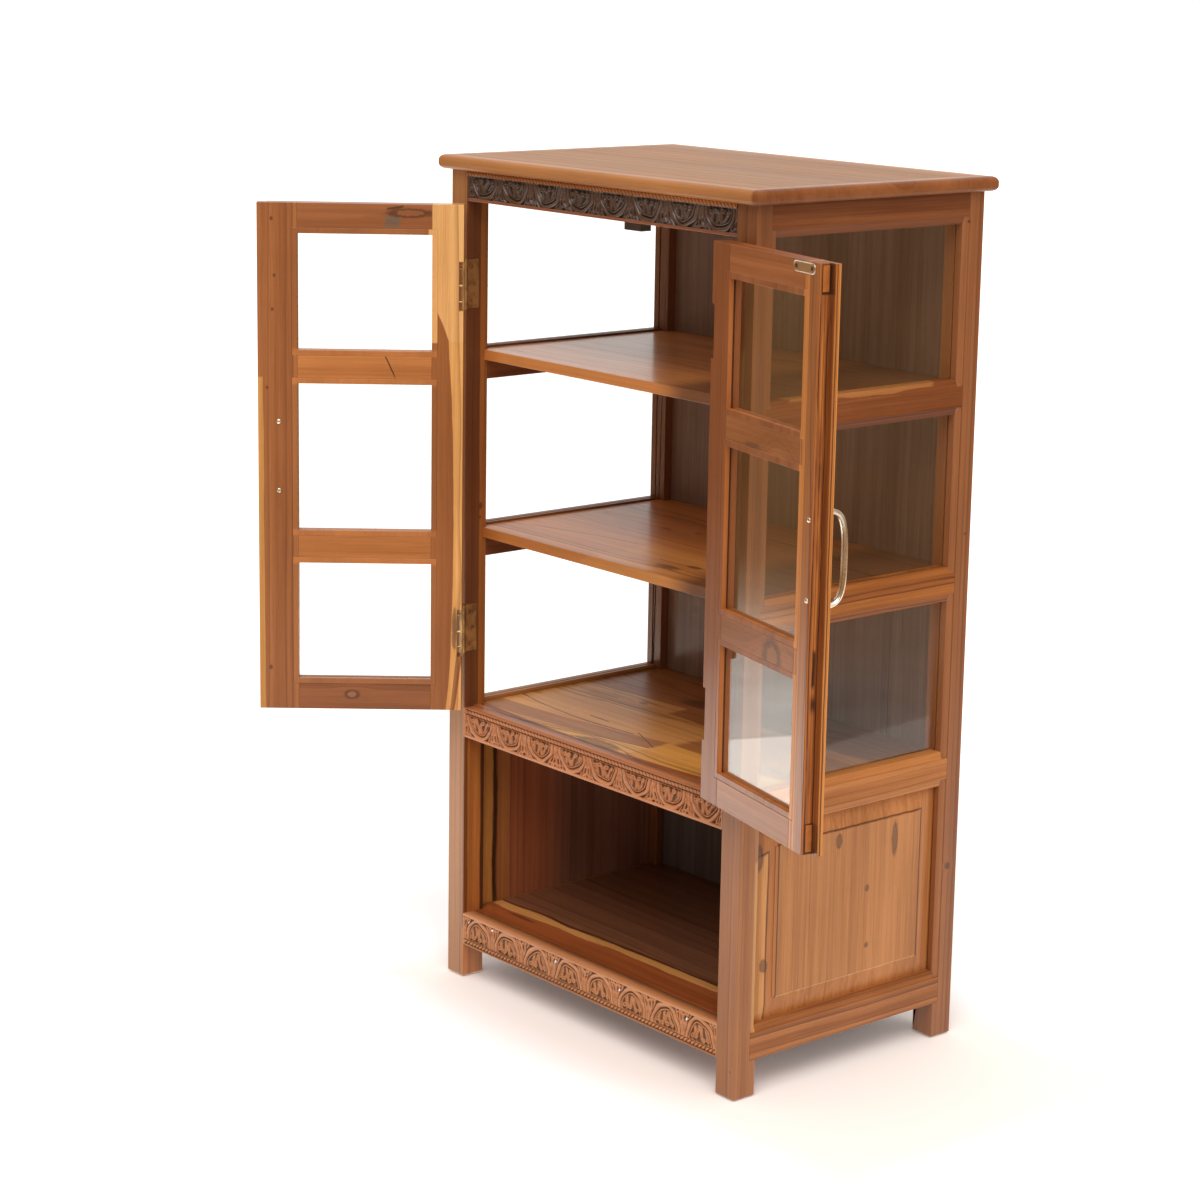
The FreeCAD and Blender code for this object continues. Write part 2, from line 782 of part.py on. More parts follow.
def build_bead_strip():
    high = ("carcass_height - bead_strip_height", "carcass_height")
    deep = span(-1, "half_depth", "half_depth + bead_strip_projection")
    keep("top_bead_strip", block("top_bead_strip", both_ways("post_inner_x"), deep, high))


def build_catch():
    # a push catch behind the top frieze, over the right door
    low_end = "top_rail_bottom - catch_drop"
    across = ("catch_from_middle - catch_width / 2", "catch_from_middle + catch_width / 2")
    back = "-front_rail_back_y + catch_depth"
    upper = block(
        "catch_upper", across, ("-front_rail_back_y", back),
        ("top_rail_bottom", "top_rail_bottom + catch_rise"),
    )
    lower = block("catch_lower", across, ("catch_front_y", back), (low_end, "top_rail_bottom"))
    keep("catch_body", carve("catch_body", fuse("catch_solid", [upper, lower]), [catch_screw_group]))


def make_catch_screws():
    screws = []
    for number, offset in enumerate(("-catch_screw_spacing / 2", "catch_screw_spacing / 2"), start=1):
        spot = (
            f"catch_from_middle + {offset}", "-front_rail_back_y + catch_depth",
            "top_rail_bottom + catch_screw_height",
        )
        name = f"catch_screw{number}"
        head = rod(name + "_head", "catch_screw_head_radius", "catch_screw_head_height", spot, "+y")
        shank = rod(name + "_shank", "catch_screw_radius", "catch_depth + catch_screw_bite", spot, "-y")
        screws.append(fuse(name, [head, shank]))
    return group("catch_screw_group", screws)


def at_pin(name, pieces, side, height="0", opened=None):
    # places pieces drawn about a hinge pin, closed or turned to the open angle
    result = group(name, pieces)
    stand(result, side, opened)
    bind(result, "Placement.Base.z", height)
    return result


def stand(piece, side, opened):
    axis = vector(0, 0, sides[side])
    piece.Placement = FreeCAD.Placement(vector(), FreeCAD.Rotation(axis, 90 if opened else 0))
    if opened:
        bind(piece, "Placement.Rotation.Angle", opened)
    bind(piece, "Placement.Base.x", spot_on(sides[side], "pin_x"))
    bind(piece, "Placement.Base.y", "pin_y")


def hang(label, piece, side):
    # a finished piece of a door, in the open pose
    stand(piece, side, f"{side}_door_open_angle")
    return keep(label, piece)


def hinge_leaf(name, sign, numbers, others):
    # sign is the way the leaf runs from the pin along X
    clearance = "hinge_knuckle_radius + hinge_knuckle_gap"
    plate = block(
        name + "_plate", span(sign, "leaf_near", "leaf_far"), ("0", "leaf_inner"), ("0", "hinge_height"),
    )
    parts = [plate]
    for number in numbers:
        low_gap = "0" if number == 0 else "hinge_knuckle_gap / 2"
        high_gap = "0" if number == sizes["hinge_knuckle_count"] - 1 else "hinge_knuckle_gap / 2"
        spot = ("0", "0", f"{number} * knuckle_pitch + {low_gap}")
        parts.append(rod(
            f"{name}_knuckle{number}", "hinge_knuckle_radius", f"knuckle_pitch - {low_gap} - {high_gap}",
            spot,
        ))
    tools = []
    for number in others:
        spot = ("0", "0", f"{number} * knuckle_pitch - hinge_knuckle_gap / 2")
        tools.append(rod(f"{name}_room{number}", clearance, "knuckle_pitch + hinge_knuckle_gap", spot))
    bore = rod(name + "_bore", "hinge_pin_radius + hinge_pin_clearance", "hinge_height", ("0", "0", "0"))
    return plate, carve(name, fuse(name + "_solid", parts), [group(name + "_rooms", tools), bore])


def hinge_screws(name, sign):
    screws = []
    offsets = ("-hinge_screw_spacing", "0", "hinge_screw_spacing")
    for number, offset in enumerate(offsets):
        stagger = "hinge_screw_stagger" if number == 1 else "-hinge_screw_stagger"
        inward = f"door_outer + hinge_leaf_width / 2 + {stagger}"
        spot = (spot_on(sign, "leaf_near"), inward, f"hinge_height / 2 + {offset}")
        way = "+x" if sign > 0 else "-x"
        head = cone(
            f"{name}{number}_head", "hinge_screw_head_radius", "hinge_screw_radius",
            "hinge_screw_head_height", spot, way,
        )
        shank = rod(f"{name}{number}_shank", "hinge_screw_radius", "hinge_screw_length", spot, way)
        screws.append(fuse(f"{name}{number}", [head, shank]))
    return group(name, screws)


def hinge_pin():
    shaft = rod("hinge_pin_shaft", "hinge_pin_radius", "hinge_height", ("0", "0", "0"))
    low_tip = rod("hinge_pin_low_tip", "hinge_pin_tip_radius", "hinge_pin_tip", ("0", "0", "-hinge_pin_tip"))
    high_tip = rod("hinge_pin_high_tip", "hinge_pin_tip_radius", "hinge_pin_tip", ("0", "0", "hinge_height"))
    return fuse("hinge_pin", [shaft, low_tip, high_tip])


def build_hinges():
    # returns, for each side, the tools that seat its hinges in the post and in the door
    pin = hinge_pin()
    leaves, pins, screws = [], [], []
    post_tools, door_tools = {}, {}
    for side, sign in sides.items():
        post_plate, post_leaf = hinge_leaf(f"{side}_post_leaf", sign, (0, 2, 4), (1, 3))
        post_screws = hinge_screws(f"{side}_post_leaf_screw", sign)
        post_leaf = carve(f"{side}_post_leaf_drilled", post_leaf, [post_screws])
        door_plate, door_leaf = hinge_leaf(f"{side}_door_leaf", -sign, (1, 3), (0, 2, 4))
        door_screws = hinge_screws(f"{side}_door_leaf_screw", -sign)
        door_leaf = carve(f"{side}_door_leaf_drilled", door_leaf, [door_screws])
        post_seats, door_seats, door_leaves, door_screw_sets = [], [], [], []
        for place in ("upper", "lower"):
            height = f"{place}_hinge_low"
            name = f"{side}_{place}"
            leaves.append(at_pin(name + "_post_leaf", [post_leaf], side, height))
            pins.append(at_pin(name + "_pin", [pin], side, height))
            screws.append(at_pin(name + "_post_screws", [post_screws], side, height))
            post_seats.append(at_pin(name + "_post_plate_seat", [post_plate], side, height))
            post_seats.append(screws[-1])
            for made, piece in (
                (door_leaves, door_leaf), (door_screw_sets, door_screws), (door_seats, door_plate),
            ):
                raised = group(f"{name}_{piece.Name}", [piece])
                bind(raised, "Placement.Base.z", height)
                made.append(raised)
        hang(f"{side}_door_hinge_leaves", group(f"{side}_door_hinge_leaves", door_leaves), side)
        hang(f"{side}_door_hinge_screws", group(f"{side}_door_hinge_screws", door_screw_sets), side)
        post_tools[side] = post_seats
        door_tools[side] = door_seats + door_screw_sets
    keep("post_hinge_leaves", group("post_hinge_leaves", leaves))
    keep("hinge_pins", group("hinge_pins", pins))
    keep("post_hinge_screws", group("post_hinge_screws", screws))
    return post_tools, door_tools


door_rails = [
    ("bottom", "door_low", "door_low_sight"),
    ("lower_middle", "lower_rail_bottom", "lower_rail_top"),
    ("upper_middle", "upper_rail_bottom", "upper_rail_top"),
    ("top", "door_high_sight", "door_high"),
]
door_panes = [
    ("lower", "door_low_sight", "lower_rail_bottom"),
    ("middle", "lower_rail_top", "upper_rail_bottom"),
    ("upper", "upper_rail_top", "door_high_sight"),
]


def door_pane_tools(side):
    # moulding on the outer face and glass rebate on the inner face, around each pane
    way = -sides[side]
    tools = []
    for pane, low_end, high_end in door_panes:
        name = f"{side}_door_{pane}"
        wide = (
            span(way, "near_sight - moulding_width", "far_sight + moulding_width"),
            grown(low_end, high_end, "moulding_width"),
        )
        tight = (span(way, "near_sight", "far_sight"), (low_end, high_end))
        tools.append(block(
            name + "_step", wide[0], ("door_outer - overrun", "door_outer + moulding_step"), wide[1],
        ))
        tools.append(taper(
            name + "_slope", "y", ("door_outer + moulding_step", "door_outer + moulding_depth"), wide,
            tight,
        ))
        across = span(way, "near_sight - door_rebate", "far_sight + door_rebate")
        deep = ("door_glass_outer", "door_inner + overrun")
        tools.append(block(name + "_rebate", across, deep, grown(low_end, high_end, "door_rebate")))
    return group(f"{side}_door_pane_tools", [fuse(f"{side}_door_pane_tool", tools)])


def door_tenon(name, side, rail, low_end, high_end, gap):
    way = -sides[side]
    through = "lip_edge" if side == "left" else "lip_seat_edge"
    far = f"far_sight + door_tenon_length + {gap}"
    if rail in ("bottom", "top"):
        far = through
    low_shoulder = "door_tenon_end_shoulder" if rail == "bottom" else "door_rebate"
    high_shoulder = "door_tenon_end_shoulder" if rail == "top" else "door_rebate"
    across = span(way, f"near_sight - door_tenon_length - {gap}", far)
    deep = ("door_tenon_outer", "door_tenon_inner")
    return block(name, across, deep, (f"{low_end} + {low_shoulder}", f"{high_end} - {high_shoulder}"))


def build_door(side, hinge_seats):
    way = -sides[side]
    name = f"{side}_door"
    pane_tool = door_pane_tools(side)
    strike_tools = [strike_seat, strike_screw_group] if side == "right" else []
    mortises = []
    rails = {}
    for rail, low_end, high_end in door_rails:
        stick = block(
            f"{name}_{rail}_stick", span(way, "near_sight", "far_sight"), ("door_outer", "door_inner"),
            (low_end, high_end),
        )
        tenon = door_tenon(f"{name}_{rail}_tenon", side, rail, low_end, high_end, "0")
        solid = fuse(f"{name}_{rail}_solid", [stick, tenon])
        tools = [pane_tool] + (strike_tools if rail == "top" else [])
        rails[rail] = carve(f"{name}_{rail}_rail_piece", solid, tools)
        mortises.append(door_tenon(
            f"{name}_{rail}_mortise", side, rail, low_end, high_end, "mortise_end_gap",
        ))
    hang(f"{name}_top_rail", rails["top"], side)
    hang(
        f"{name}_middle_rails",
        group(f"{name}_middle_rails", [rails["upper_middle"], rails["lower_middle"]]), side,
    )
    hang(f"{name}_bottom_rail", rails["bottom"], side)
    mortise_tool = group(f"{name}_mortises", mortises)

    high = ("door_low", "door_high")
    deep = ("door_outer", "door_inner")
    hinge_stick = block(f"{name}_hinge_stick", span(way, "hinge_edge", "near_sight"), deep, high)
    hang(
        f"{name}_hinge_stile",
        carve(f"{name}_hinge_stile", hinge_stick, [pane_tool, mortise_tool] + hinge_seats), side,
    )

    # the left door carries the inner lip of the meeting joint, the right door the outer one
    if side == "left":
        main = block(f"{name}_meeting_stick", span(way, "far_sight", "outer_edge"), deep, high)
        lip = block(
            f"{name}_meeting_lip", span(way, "far_sight", "lip_edge"), ("lip_outer_face", "door_inner"),
            high,
        )
    else:
        main = block(f"{name}_meeting_stick", span(way, "far_sight", "lip_seat_edge"), deep, high)
        lip = block(
            f"{name}_meeting_lip", span(way, "far_sight", "outer_edge"),
            ("door_outer", "lip_inner_face"), high,
        )
    solid = fuse(f"{name}_meeting_solid", [main, lip])
    bolts = build_pull(side)
    tools = [pane_tool, mortise_tool, bolts] + strike_tools
    hang(f"{name}_meeting_stile", carve(f"{name}_meeting_stile", solid, tools), side)
    build_door_glazing(side)


def build_door_glazing(side):
    # panes in their rebates, each held by four mitred beads
    way = -sides[side]
    name = f"{side}_door"
    panes, beads = [], []
    deep = ("door_glass_inner", "door_inner")
    for pane, low_end, high_end in door_panes:
        across = span(
            way, "near_sight - door_rebate + glass_edge_gap", "far_sight + door_rebate - glass_edge_gap",
        )
        tall = grown(low_end, high_end, "(door_rebate - glass_edge_gap)")
        panes.append(block(f"{name}_{pane}_glass", across, ("door_glass_outer", "door_glass_inner"), tall))
        long_high = grown(low_end, high_end, "door_rebate")
        short_high = (low_end, high_end)
        long_across = span(way, "near_sight - door_rebate", "far_sight + door_rebate")
        short_across = span(way, "near_sight", "far_sight")
        near_run = span(way, "near_sight - door_rebate", "near_sight")
        far_run = span(way, "far_sight", "far_sight + door_rebate")
        growing = ((deep, short_high), (deep, long_high))
        shrinking = ((deep, long_high), (deep, short_high))
        near_faces = shrinking if way > 0 else growing
        far_faces = growing if way > 0 else shrinking
        beads.append(taper(f"{name}_{pane}_near_bead", "x", near_run, *near_faces))
        beads.append(taper(f"{name}_{pane}_far_bead", "x", far_run, *far_faces))
        low_run = (f"{low_end} - door_rebate", low_end)
        high_run = (high_end, f"{high_end} + door_rebate")
        beads.append(taper(
            f"{name}_{pane}_low_bead", "z", low_run, (long_across, deep), (short_across, deep),
        ))
        beads.append(taper(
            f"{name}_{pane}_high_bead", "z", high_run, (short_across, deep), (long_across, deep),
        ))
    hang(f"{name}_glass", group(f"{name}_glass", panes), side)
    hang(f"{name}_beads", group(f"{name}_beads", beads), side)


def build_pull(side):
    # a bow pull on the outer face, bolted through the meeting stile; returns its bolts
    name = f"{side}_door_handle"
    place = spot_on(-sides[side], "pull_place")
    half = "pull_length / 2"
    grip = "pull_grip_length / 2"
    reach = "pull_projection"
    inner = [
        ("0", f"{half} - pull_foot_length"),
        (
            f"-({reach} * pull_bend_share - pull_strap_thickness)",
            f"{grip} + ({half} - pull_foot_length - {grip}) * pull_bend_place_share",
        ),
        (f"-({reach} - pull_strap_thickness)", f"{grip} - pull_strap_thickness / 2"),
    ]
    outer = [
        (f"-{reach}", grip),
        (
            f"-{reach} * pull_bend_share",
            f"{grip} + ({half} - pull_foot_length - {grip}) * pull_bend_place_share + pull_strap_thickness / 2",
        ),
        (f"-{reach} * pull_neck_share", f"{half} - pull_foot_length * pull_neck_place_share"),
        ("-pull_foot_thickness", half),
        ("0", half),
    ]
    lower_inner = [(first, f"-({second})") for first, second in reversed(inner)]
    lower_outer = [(first, f"-({second})") for first, second in reversed(outer)]
    points = outer + inner + lower_inner + lower_outer
    body = doc.addObject("PartDesign::Body", name + "_bow")
    pad(body, outline(body, name + "_outline", "YZ_Plane", points), "pull_width")
    bind(body, "Placement.Base.x", f"{place} - pull_width / 2")
    bind(body, "Placement.Base.y", "door_outer")
    bind(body, "Placement.Base.z", "pull_middle_height")
    bolts, slotted = [], []
    for number, offset in enumerate(("-pull_hole_spacing / 2", "pull_hole_spacing / 2"), start=1):
        height = f"pull_middle_height + {offset}"
        bolt_name = f"{name}_bolt{number}"
        shank_spot = (place, "door_outer - pull_bolt_depth", height)
        shank = rod(
            bolt_name + "_shank", "pull_bolt_radius", "door_thickness + pull_bolt_depth", shank_spot,
            "+y",
        )
        head = rod(
            bolt_name + "_head", "pull_bolt_head_radius", "pull_bolt_head_height",
            (place, "door_inner", height), "+y",
        )
        bolt = fuse(bolt_name + "_solid", [shank, head])
        across = (f"{place} - pull_bolt_head_radius - overrun", f"{place} + pull_bolt_head_radius + overrun")
        deep = ("door_inner + pull_bolt_head_height / 2", "door_inner + pull_bolt_head_height + overrun")
        slot = block(bolt_name + "_slot", across, deep, grown(height, height, "pull_bolt_slot / 2"))
        bolts.append(bolt)
        slotted.append(carve(bolt_name, bolt, [slot]))
    bolt_group = group(name + "_bolts", bolts)
    hang(name, carve(name, body, [bolt_group]), side)
    hang(name + "_screws", group(name + "_screws", slotted), side)
    return bolt_group


def stadium(name, deep):
    # a plate with round ends, across the top corner of the right door
    middle = "-strike_place"
    straight = "(strike_length - strike_height) / 2"
    high = ("strike_middle - strike_height / 2", "strike_middle + strike_height / 2")
    pieces = [block(name + "_middle", (f"{middle} - {straight}", f"{middle} + {straight}"), deep, high)]
    for number, where in enumerate((f"{middle} - {straight}", f"{middle} + {straight}"), start=1):
        spot = (where, deep[0], "strike_middle")
        pieces.append(rod(
            f"{name}_end{number}", "strike_height / 2", f"({deep[1]}) - ({deep[0]})", spot, "+y",
        ))
    return fuse(name, pieces)


def make_strike_screws():
    screws = []
    for number, offset in enumerate(("-strike_screw_spacing / 2", "strike_screw_spacing / 2"), start=1):
        spot = (f"-strike_place + {offset}", "strike_face", "strike_middle")
        name = f"strike_screw{number}"
        head = cone(
            name + "_head", "strike_screw_head_radius", "strike_screw_radius",
            "strike_screw_head_height", spot, "-y",
        )
        shank = rod(name + "_shank", "strike_screw_radius", "strike_screw_length", spot, "-y")
        screws.append(fuse(name, [head, shank]))
    return group("strike_screw_group", screws)


def build_strike():
    plate = stadium("strike_solid", ("door_inner - strike_recess", "strike_face"))
    hang("strike_plate", carve("strike_plate", plate, [strike_screw_group]), "right")
    hang("strike_screws", group("strike_screws", [strike_screw_group]), "right")


dowels = build_top_dowels()
build_top()
catch_screw_group = make_catch_screws()
strike_screw_group = make_strike_screws()
strike_seat = stadium("strike_seat", ("door_inner - strike_recess", "door_inner + overrun"))

groove_tool = back_field_tools()
post_hinge_seats, door_hinge_seats = build_hinges()
for side in sides:
    opening_tool = side_opening_tools(side)
    frame_mortises = build_side_frame(side, opening_tool)
    for end in ("front", "back"):
        cross_mortises = []
        for rail, low_end, high_end in cross_rails:
            mortise_name = f"{side}_{end}_{rail}_mortise"
            cross_mortises.append(cross_tenon(
                mortise_name, end, low_end, high_end, "tenon_length + mortise_end_gap",
            ))
        tools = [opening_tool, frame_mortises, group(f"{side}_{end}_mortises", cross_mortises)]
        tools = tools + (post_hinge_seats[side] if end == "front" else [groove_tool])
        build_post(end, side, tools)
    build_side_panel(side)
build_frieze("top_frieze", "top_rail_bottom", "carcass_height", True)
build_frieze("middle_frieze", "middle_frieze_bottom", "middle_board_top", True)
build_frieze("bottom_frieze", "floor_clearance", "bottom_rail_top", False)
build_bead_strip()
build_back_rails(groove_tool)
build_back_boards()
shelf_front = "-half_depth + shelf_front_setback"
build_inner_board("upper_shelf", "upper_shelf_top", "shelf_thickness", shelf_front, "back_board_inner_y")
build_inner_board("lower_shelf", "lower_shelf_top", "shelf_thickness", shelf_front, "back_board_inner_y")
board_front = "-front_rail_back_y + board_edge_gap"
build_inner_board("middle_board", "middle_board_top", "board_thickness", board_front, "back_rail_inner_y")
build_inner_board("bottom_board", "bottom_rail_top", "board_thickness", board_front, "back_rail_inner_y")
build_cleats()
build_side_glass()
build_catch()
keep("catch_screws", group("catch_screws", [catch_screw_group]))
for side in sides:
    build_door(side, door_hinge_seats[side])
build_strike()

doc.recompute()
for item in doc.Objects:
    if "Invalid" in item.State or "Error" in item.State:
        raise RuntimeError(f"{item.Name} did not build: {item.State}")
for node in nodes:
    if node.Shape.isNull() or not node.Shape.isValid():
        raise RuntimeError(f"{node.Label} is not a valid shape")

os.makedirs("parts", exist_ok=True)
for node in nodes:
    node.Shape.exportStep(f"parts/{node.Label}.step")
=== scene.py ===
import json
import math
import bmesh
import bpy
import numpy as np
from mathutils import Matrix, Vector


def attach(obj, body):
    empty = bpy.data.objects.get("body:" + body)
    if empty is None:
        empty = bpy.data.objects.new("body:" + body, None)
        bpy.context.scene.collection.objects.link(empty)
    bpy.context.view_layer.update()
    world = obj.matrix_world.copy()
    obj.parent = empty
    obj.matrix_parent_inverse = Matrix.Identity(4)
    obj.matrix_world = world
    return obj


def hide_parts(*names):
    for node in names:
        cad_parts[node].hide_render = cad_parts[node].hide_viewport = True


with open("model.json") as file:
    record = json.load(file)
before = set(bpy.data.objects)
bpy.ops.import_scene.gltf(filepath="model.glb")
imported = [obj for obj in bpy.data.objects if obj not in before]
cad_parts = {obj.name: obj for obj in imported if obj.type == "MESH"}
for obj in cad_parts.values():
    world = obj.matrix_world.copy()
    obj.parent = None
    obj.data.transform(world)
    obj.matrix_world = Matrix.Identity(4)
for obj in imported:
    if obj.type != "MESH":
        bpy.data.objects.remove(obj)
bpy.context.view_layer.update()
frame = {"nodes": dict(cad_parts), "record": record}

print("stage: frame loaded")

rng = np.random.default_rng(41)
nodes = frame["nodes"]
mm = 0.001

# how far each door stands open in the photograph, and the line that it turns on
doors = {
    "left_door": {"pin": (-281 * mm, -213 * mm), "open": math.radians(129)},
    "right_door": {"pin": (281 * mm, -213 * mm), "open": -math.radians(166)},
}
bodyOf = {name: body for body, names in frame["record"]["behaviour"]["bodies"].items() for name in names}


# View
cameraPlace = {
    "position": (3.0164, -2.7143, 1.5396),
    "yaw": 49.88, "pitch": 11.86, "roll": 0.98,   # degrees
    "focal": 2920.9, "middle": (610.0, 540.0), "picture": 1200.0,   # pixels
    "sensor": 36.0,
}


def addObject(name, data):
    made = bpy.data.objects.new(name, data)
    bpy.context.scene.collection.objects.link(made)
    return made


def makeCamera(place):
    # the lens axis runs back from the object by yaw and pitch, then the frame is rolled about it
    yaw, pitch, roll = (math.radians(place[key]) for key in ("yaw", "pitch", "roll"))
    back = Vector((math.sin(yaw) * math.cos(pitch), -math.cos(yaw) * math.cos(pitch), math.sin(pitch)))
    right = Vector((math.cos(yaw), math.sin(yaw), 0))
    up = right.cross(-back)
    turnedRight = math.cos(roll) * right + math.sin(roll) * up
    turnedUp = -math.sin(roll) * right + math.cos(roll) * up
    data = bpy.data.cameras.new("camera")
    data.sensor_fit = "HORIZONTAL"
    data.sensor_width = place["sensor"]
    data.lens = place["focal"] / place["picture"] * place["sensor"]
    data.shift_x = (place["picture"] / 2 - place["middle"][0]) / place["picture"]
    data.shift_y = (place["middle"][1] - place["picture"] / 2) / place["picture"]
    data.clip_end = 200
    camera = addObject("camera", data)
    camera.matrix_world = Matrix((
        (turnedRight.x, turnedUp.x, back.x, place["position"][0]),
        (turnedRight.y, turnedUp.y, back.y, place["position"][1]),
        (turnedRight.z, turnedUp.z, back.z, place["position"][2]),
        (0, 0, 0, 1),
    ))
    bpy.context.scene.camera = camera


makeCamera(cameraPlace)
bpy.context.scene.view_settings.view_transform = "Standard"
print("stage: camera set")


# Node helpers
def feed(tree, node, **values):
    # links or sets the inputs of a node, by socket name or by number as i0, i1 and so on
    for key, value in values.items():
        byNumber = key[0] == "i" and key[1:].isdigit()
        socket = node.inputs[int(key[1:]) if byNumber else key.replace("_", " ")]
        if isinstance(value, bpy.types.NodeSocket):
            tree.links.new(value, socket)
        else:
            socket.default_value = value


def addNode(tree, kind, settings=None, **values):
    made = tree.nodes.new("ShaderNode" + kind)
    for key, value in (settings or {}).items():
        setattr(made, key, value)
    feed(tree, made, **values)
    return made


def calc(tree, operation, *values, kind="Math", output=0):
    inputs = {f"i{k}": value for k, value in enumerate(values)}
    return addNode(tree, kind, {"operation": operation}, **inputs).outputs[output]


def times(tree, first, second):
    return calc(tree, "MULTIPLY", first, second)


def plus(tree, first, second):
    return calc(tree, "ADD", first, second)


def minus(tree, first, second):
    return calc(tree, "SUBTRACT", first, second)


def oneLess(tree, value):
    # 1 less the value
    return minus(tree, 1.0, value)


def scaled(tree, value, gain, offset):
    # value times gain plus offset
    return calc(tree, "MULTIPLY_ADD", value, gain, offset)


def vectorCalc(tree, operation, *values, output=0):
    return calc(tree, operation, *values, kind="VectorMath", output=output)


def partsOf(tree, vector):
    return addNode(tree, "SeparateXYZ", Vector=vector).outputs


def attribute(tree, name, output="Fac"):
    return addNode(tree, "Attribute", {"attribute_name": name}).outputs[output]


def randomOf(tree, value):
    return addNode(tree, "TexWhiteNoise", {"noise_dimensions": "1D"}, W=value).outputs["Value"]


def mixValue(tree, amount, first, second):
    return addNode(tree, "Mix", {"data_type": "FLOAT"}, i0=amount, i2=first, i3=second).outputs[0]


def mixColour(tree, amount, first, second, mode="MIX"):
    made = addNode(tree, "Mix", {"data_type": "RGBA", "blend_type": mode}, i0=amount, i6=first, i7=second)
    return made.outputs[2]


def smoothStep(tree, value, low, high):
    settings = {"interpolation_type": "SMOOTHSTEP"}
    return addNode(tree, "MapRange", settings, i0=value, i1=low, i2=high).outputs[0]


def noiseOf(tree, vector, scale=1.0, detail=2.0, rough=0.5):
    inputs = {"Vector": vector, "Scale": scale, "Detail": detail, "Roughness": rough}
    return addNode(tree, "TexNoise", **inputs).outputs["Fac"]


def newGroup(name, takes, gives):
    # takes gives each input its first value, None for a vector; gives names the outputs with their kinds
    tree = bpy.data.node_groups.new(name, "ShaderNodeTree")
    for label, value in takes.items():
        kind = "Vector" if value is None else "Color" if isinstance(value, tuple) else "Float"
        socket = tree.interface.new_socket(label, in_out="INPUT", socket_type="NodeSocket" + kind)
        if value is not None:
            socket.default_value = value
    for label, kind in gives.items():
        tree.interface.new_socket(label, in_out="OUTPUT", socket_type="NodeSocket" + kind)
    return tree, tree.nodes.new("NodeGroupInput").outputs, tree.nodes.new("NodeGroupOutput")


def useGroup(tree, group, **values):
    return addNode(tree, "Group", {"node_tree": group}, **values).outputs


def newMaterial(name):
    material = bpy.data.materials.new(name)
    material.use_nodes = True
    return material, material.node_tree, material.node_tree.nodes["Principled BSDF"]


def grey(value):
    return (value, value, value, 1)


# Shared effects
grainNoises = {   # waves per metre along and across the board, detail and roughness
    "slow": (1.6, 8.0, 2.0, 0.5), "middle": (7.0, 50.0, 2.0, 0.5), "broad": (1.3, 14.0, 3.0, 0.5),
    "fibre": (9.0, 700.0, 3.0, 0.6), "streak": (2.2, 110.0, 4.0, 0.62), "pore": (40.0, 1700.0, 1.0, 0.5),
}
grainLook = {
    "seedMoves": (37.0, 11.3), "plankMoves": (7.7, 3.9), "seedPith": 0.05, "plankPith": 0.083,
    "ringKeys": (91.0, 17.0), "middle": 0.14, "pullWaves": 0.55, "pull": 2.2,
    "lineEnd": 0.93, "linePower": 5.0, "lineRings": (0.25, 0.85), "lineGain": (1.5, 0.12),
    "broad": 0.9, "streak": 2.2, "fibre": 1.4, "poreSpan": (0.1, 0.24), "poreDark": 0.22,
    "fibreHeight": 0.3, "lineHeight": -0.35, "poreHeight": -0.7,
}


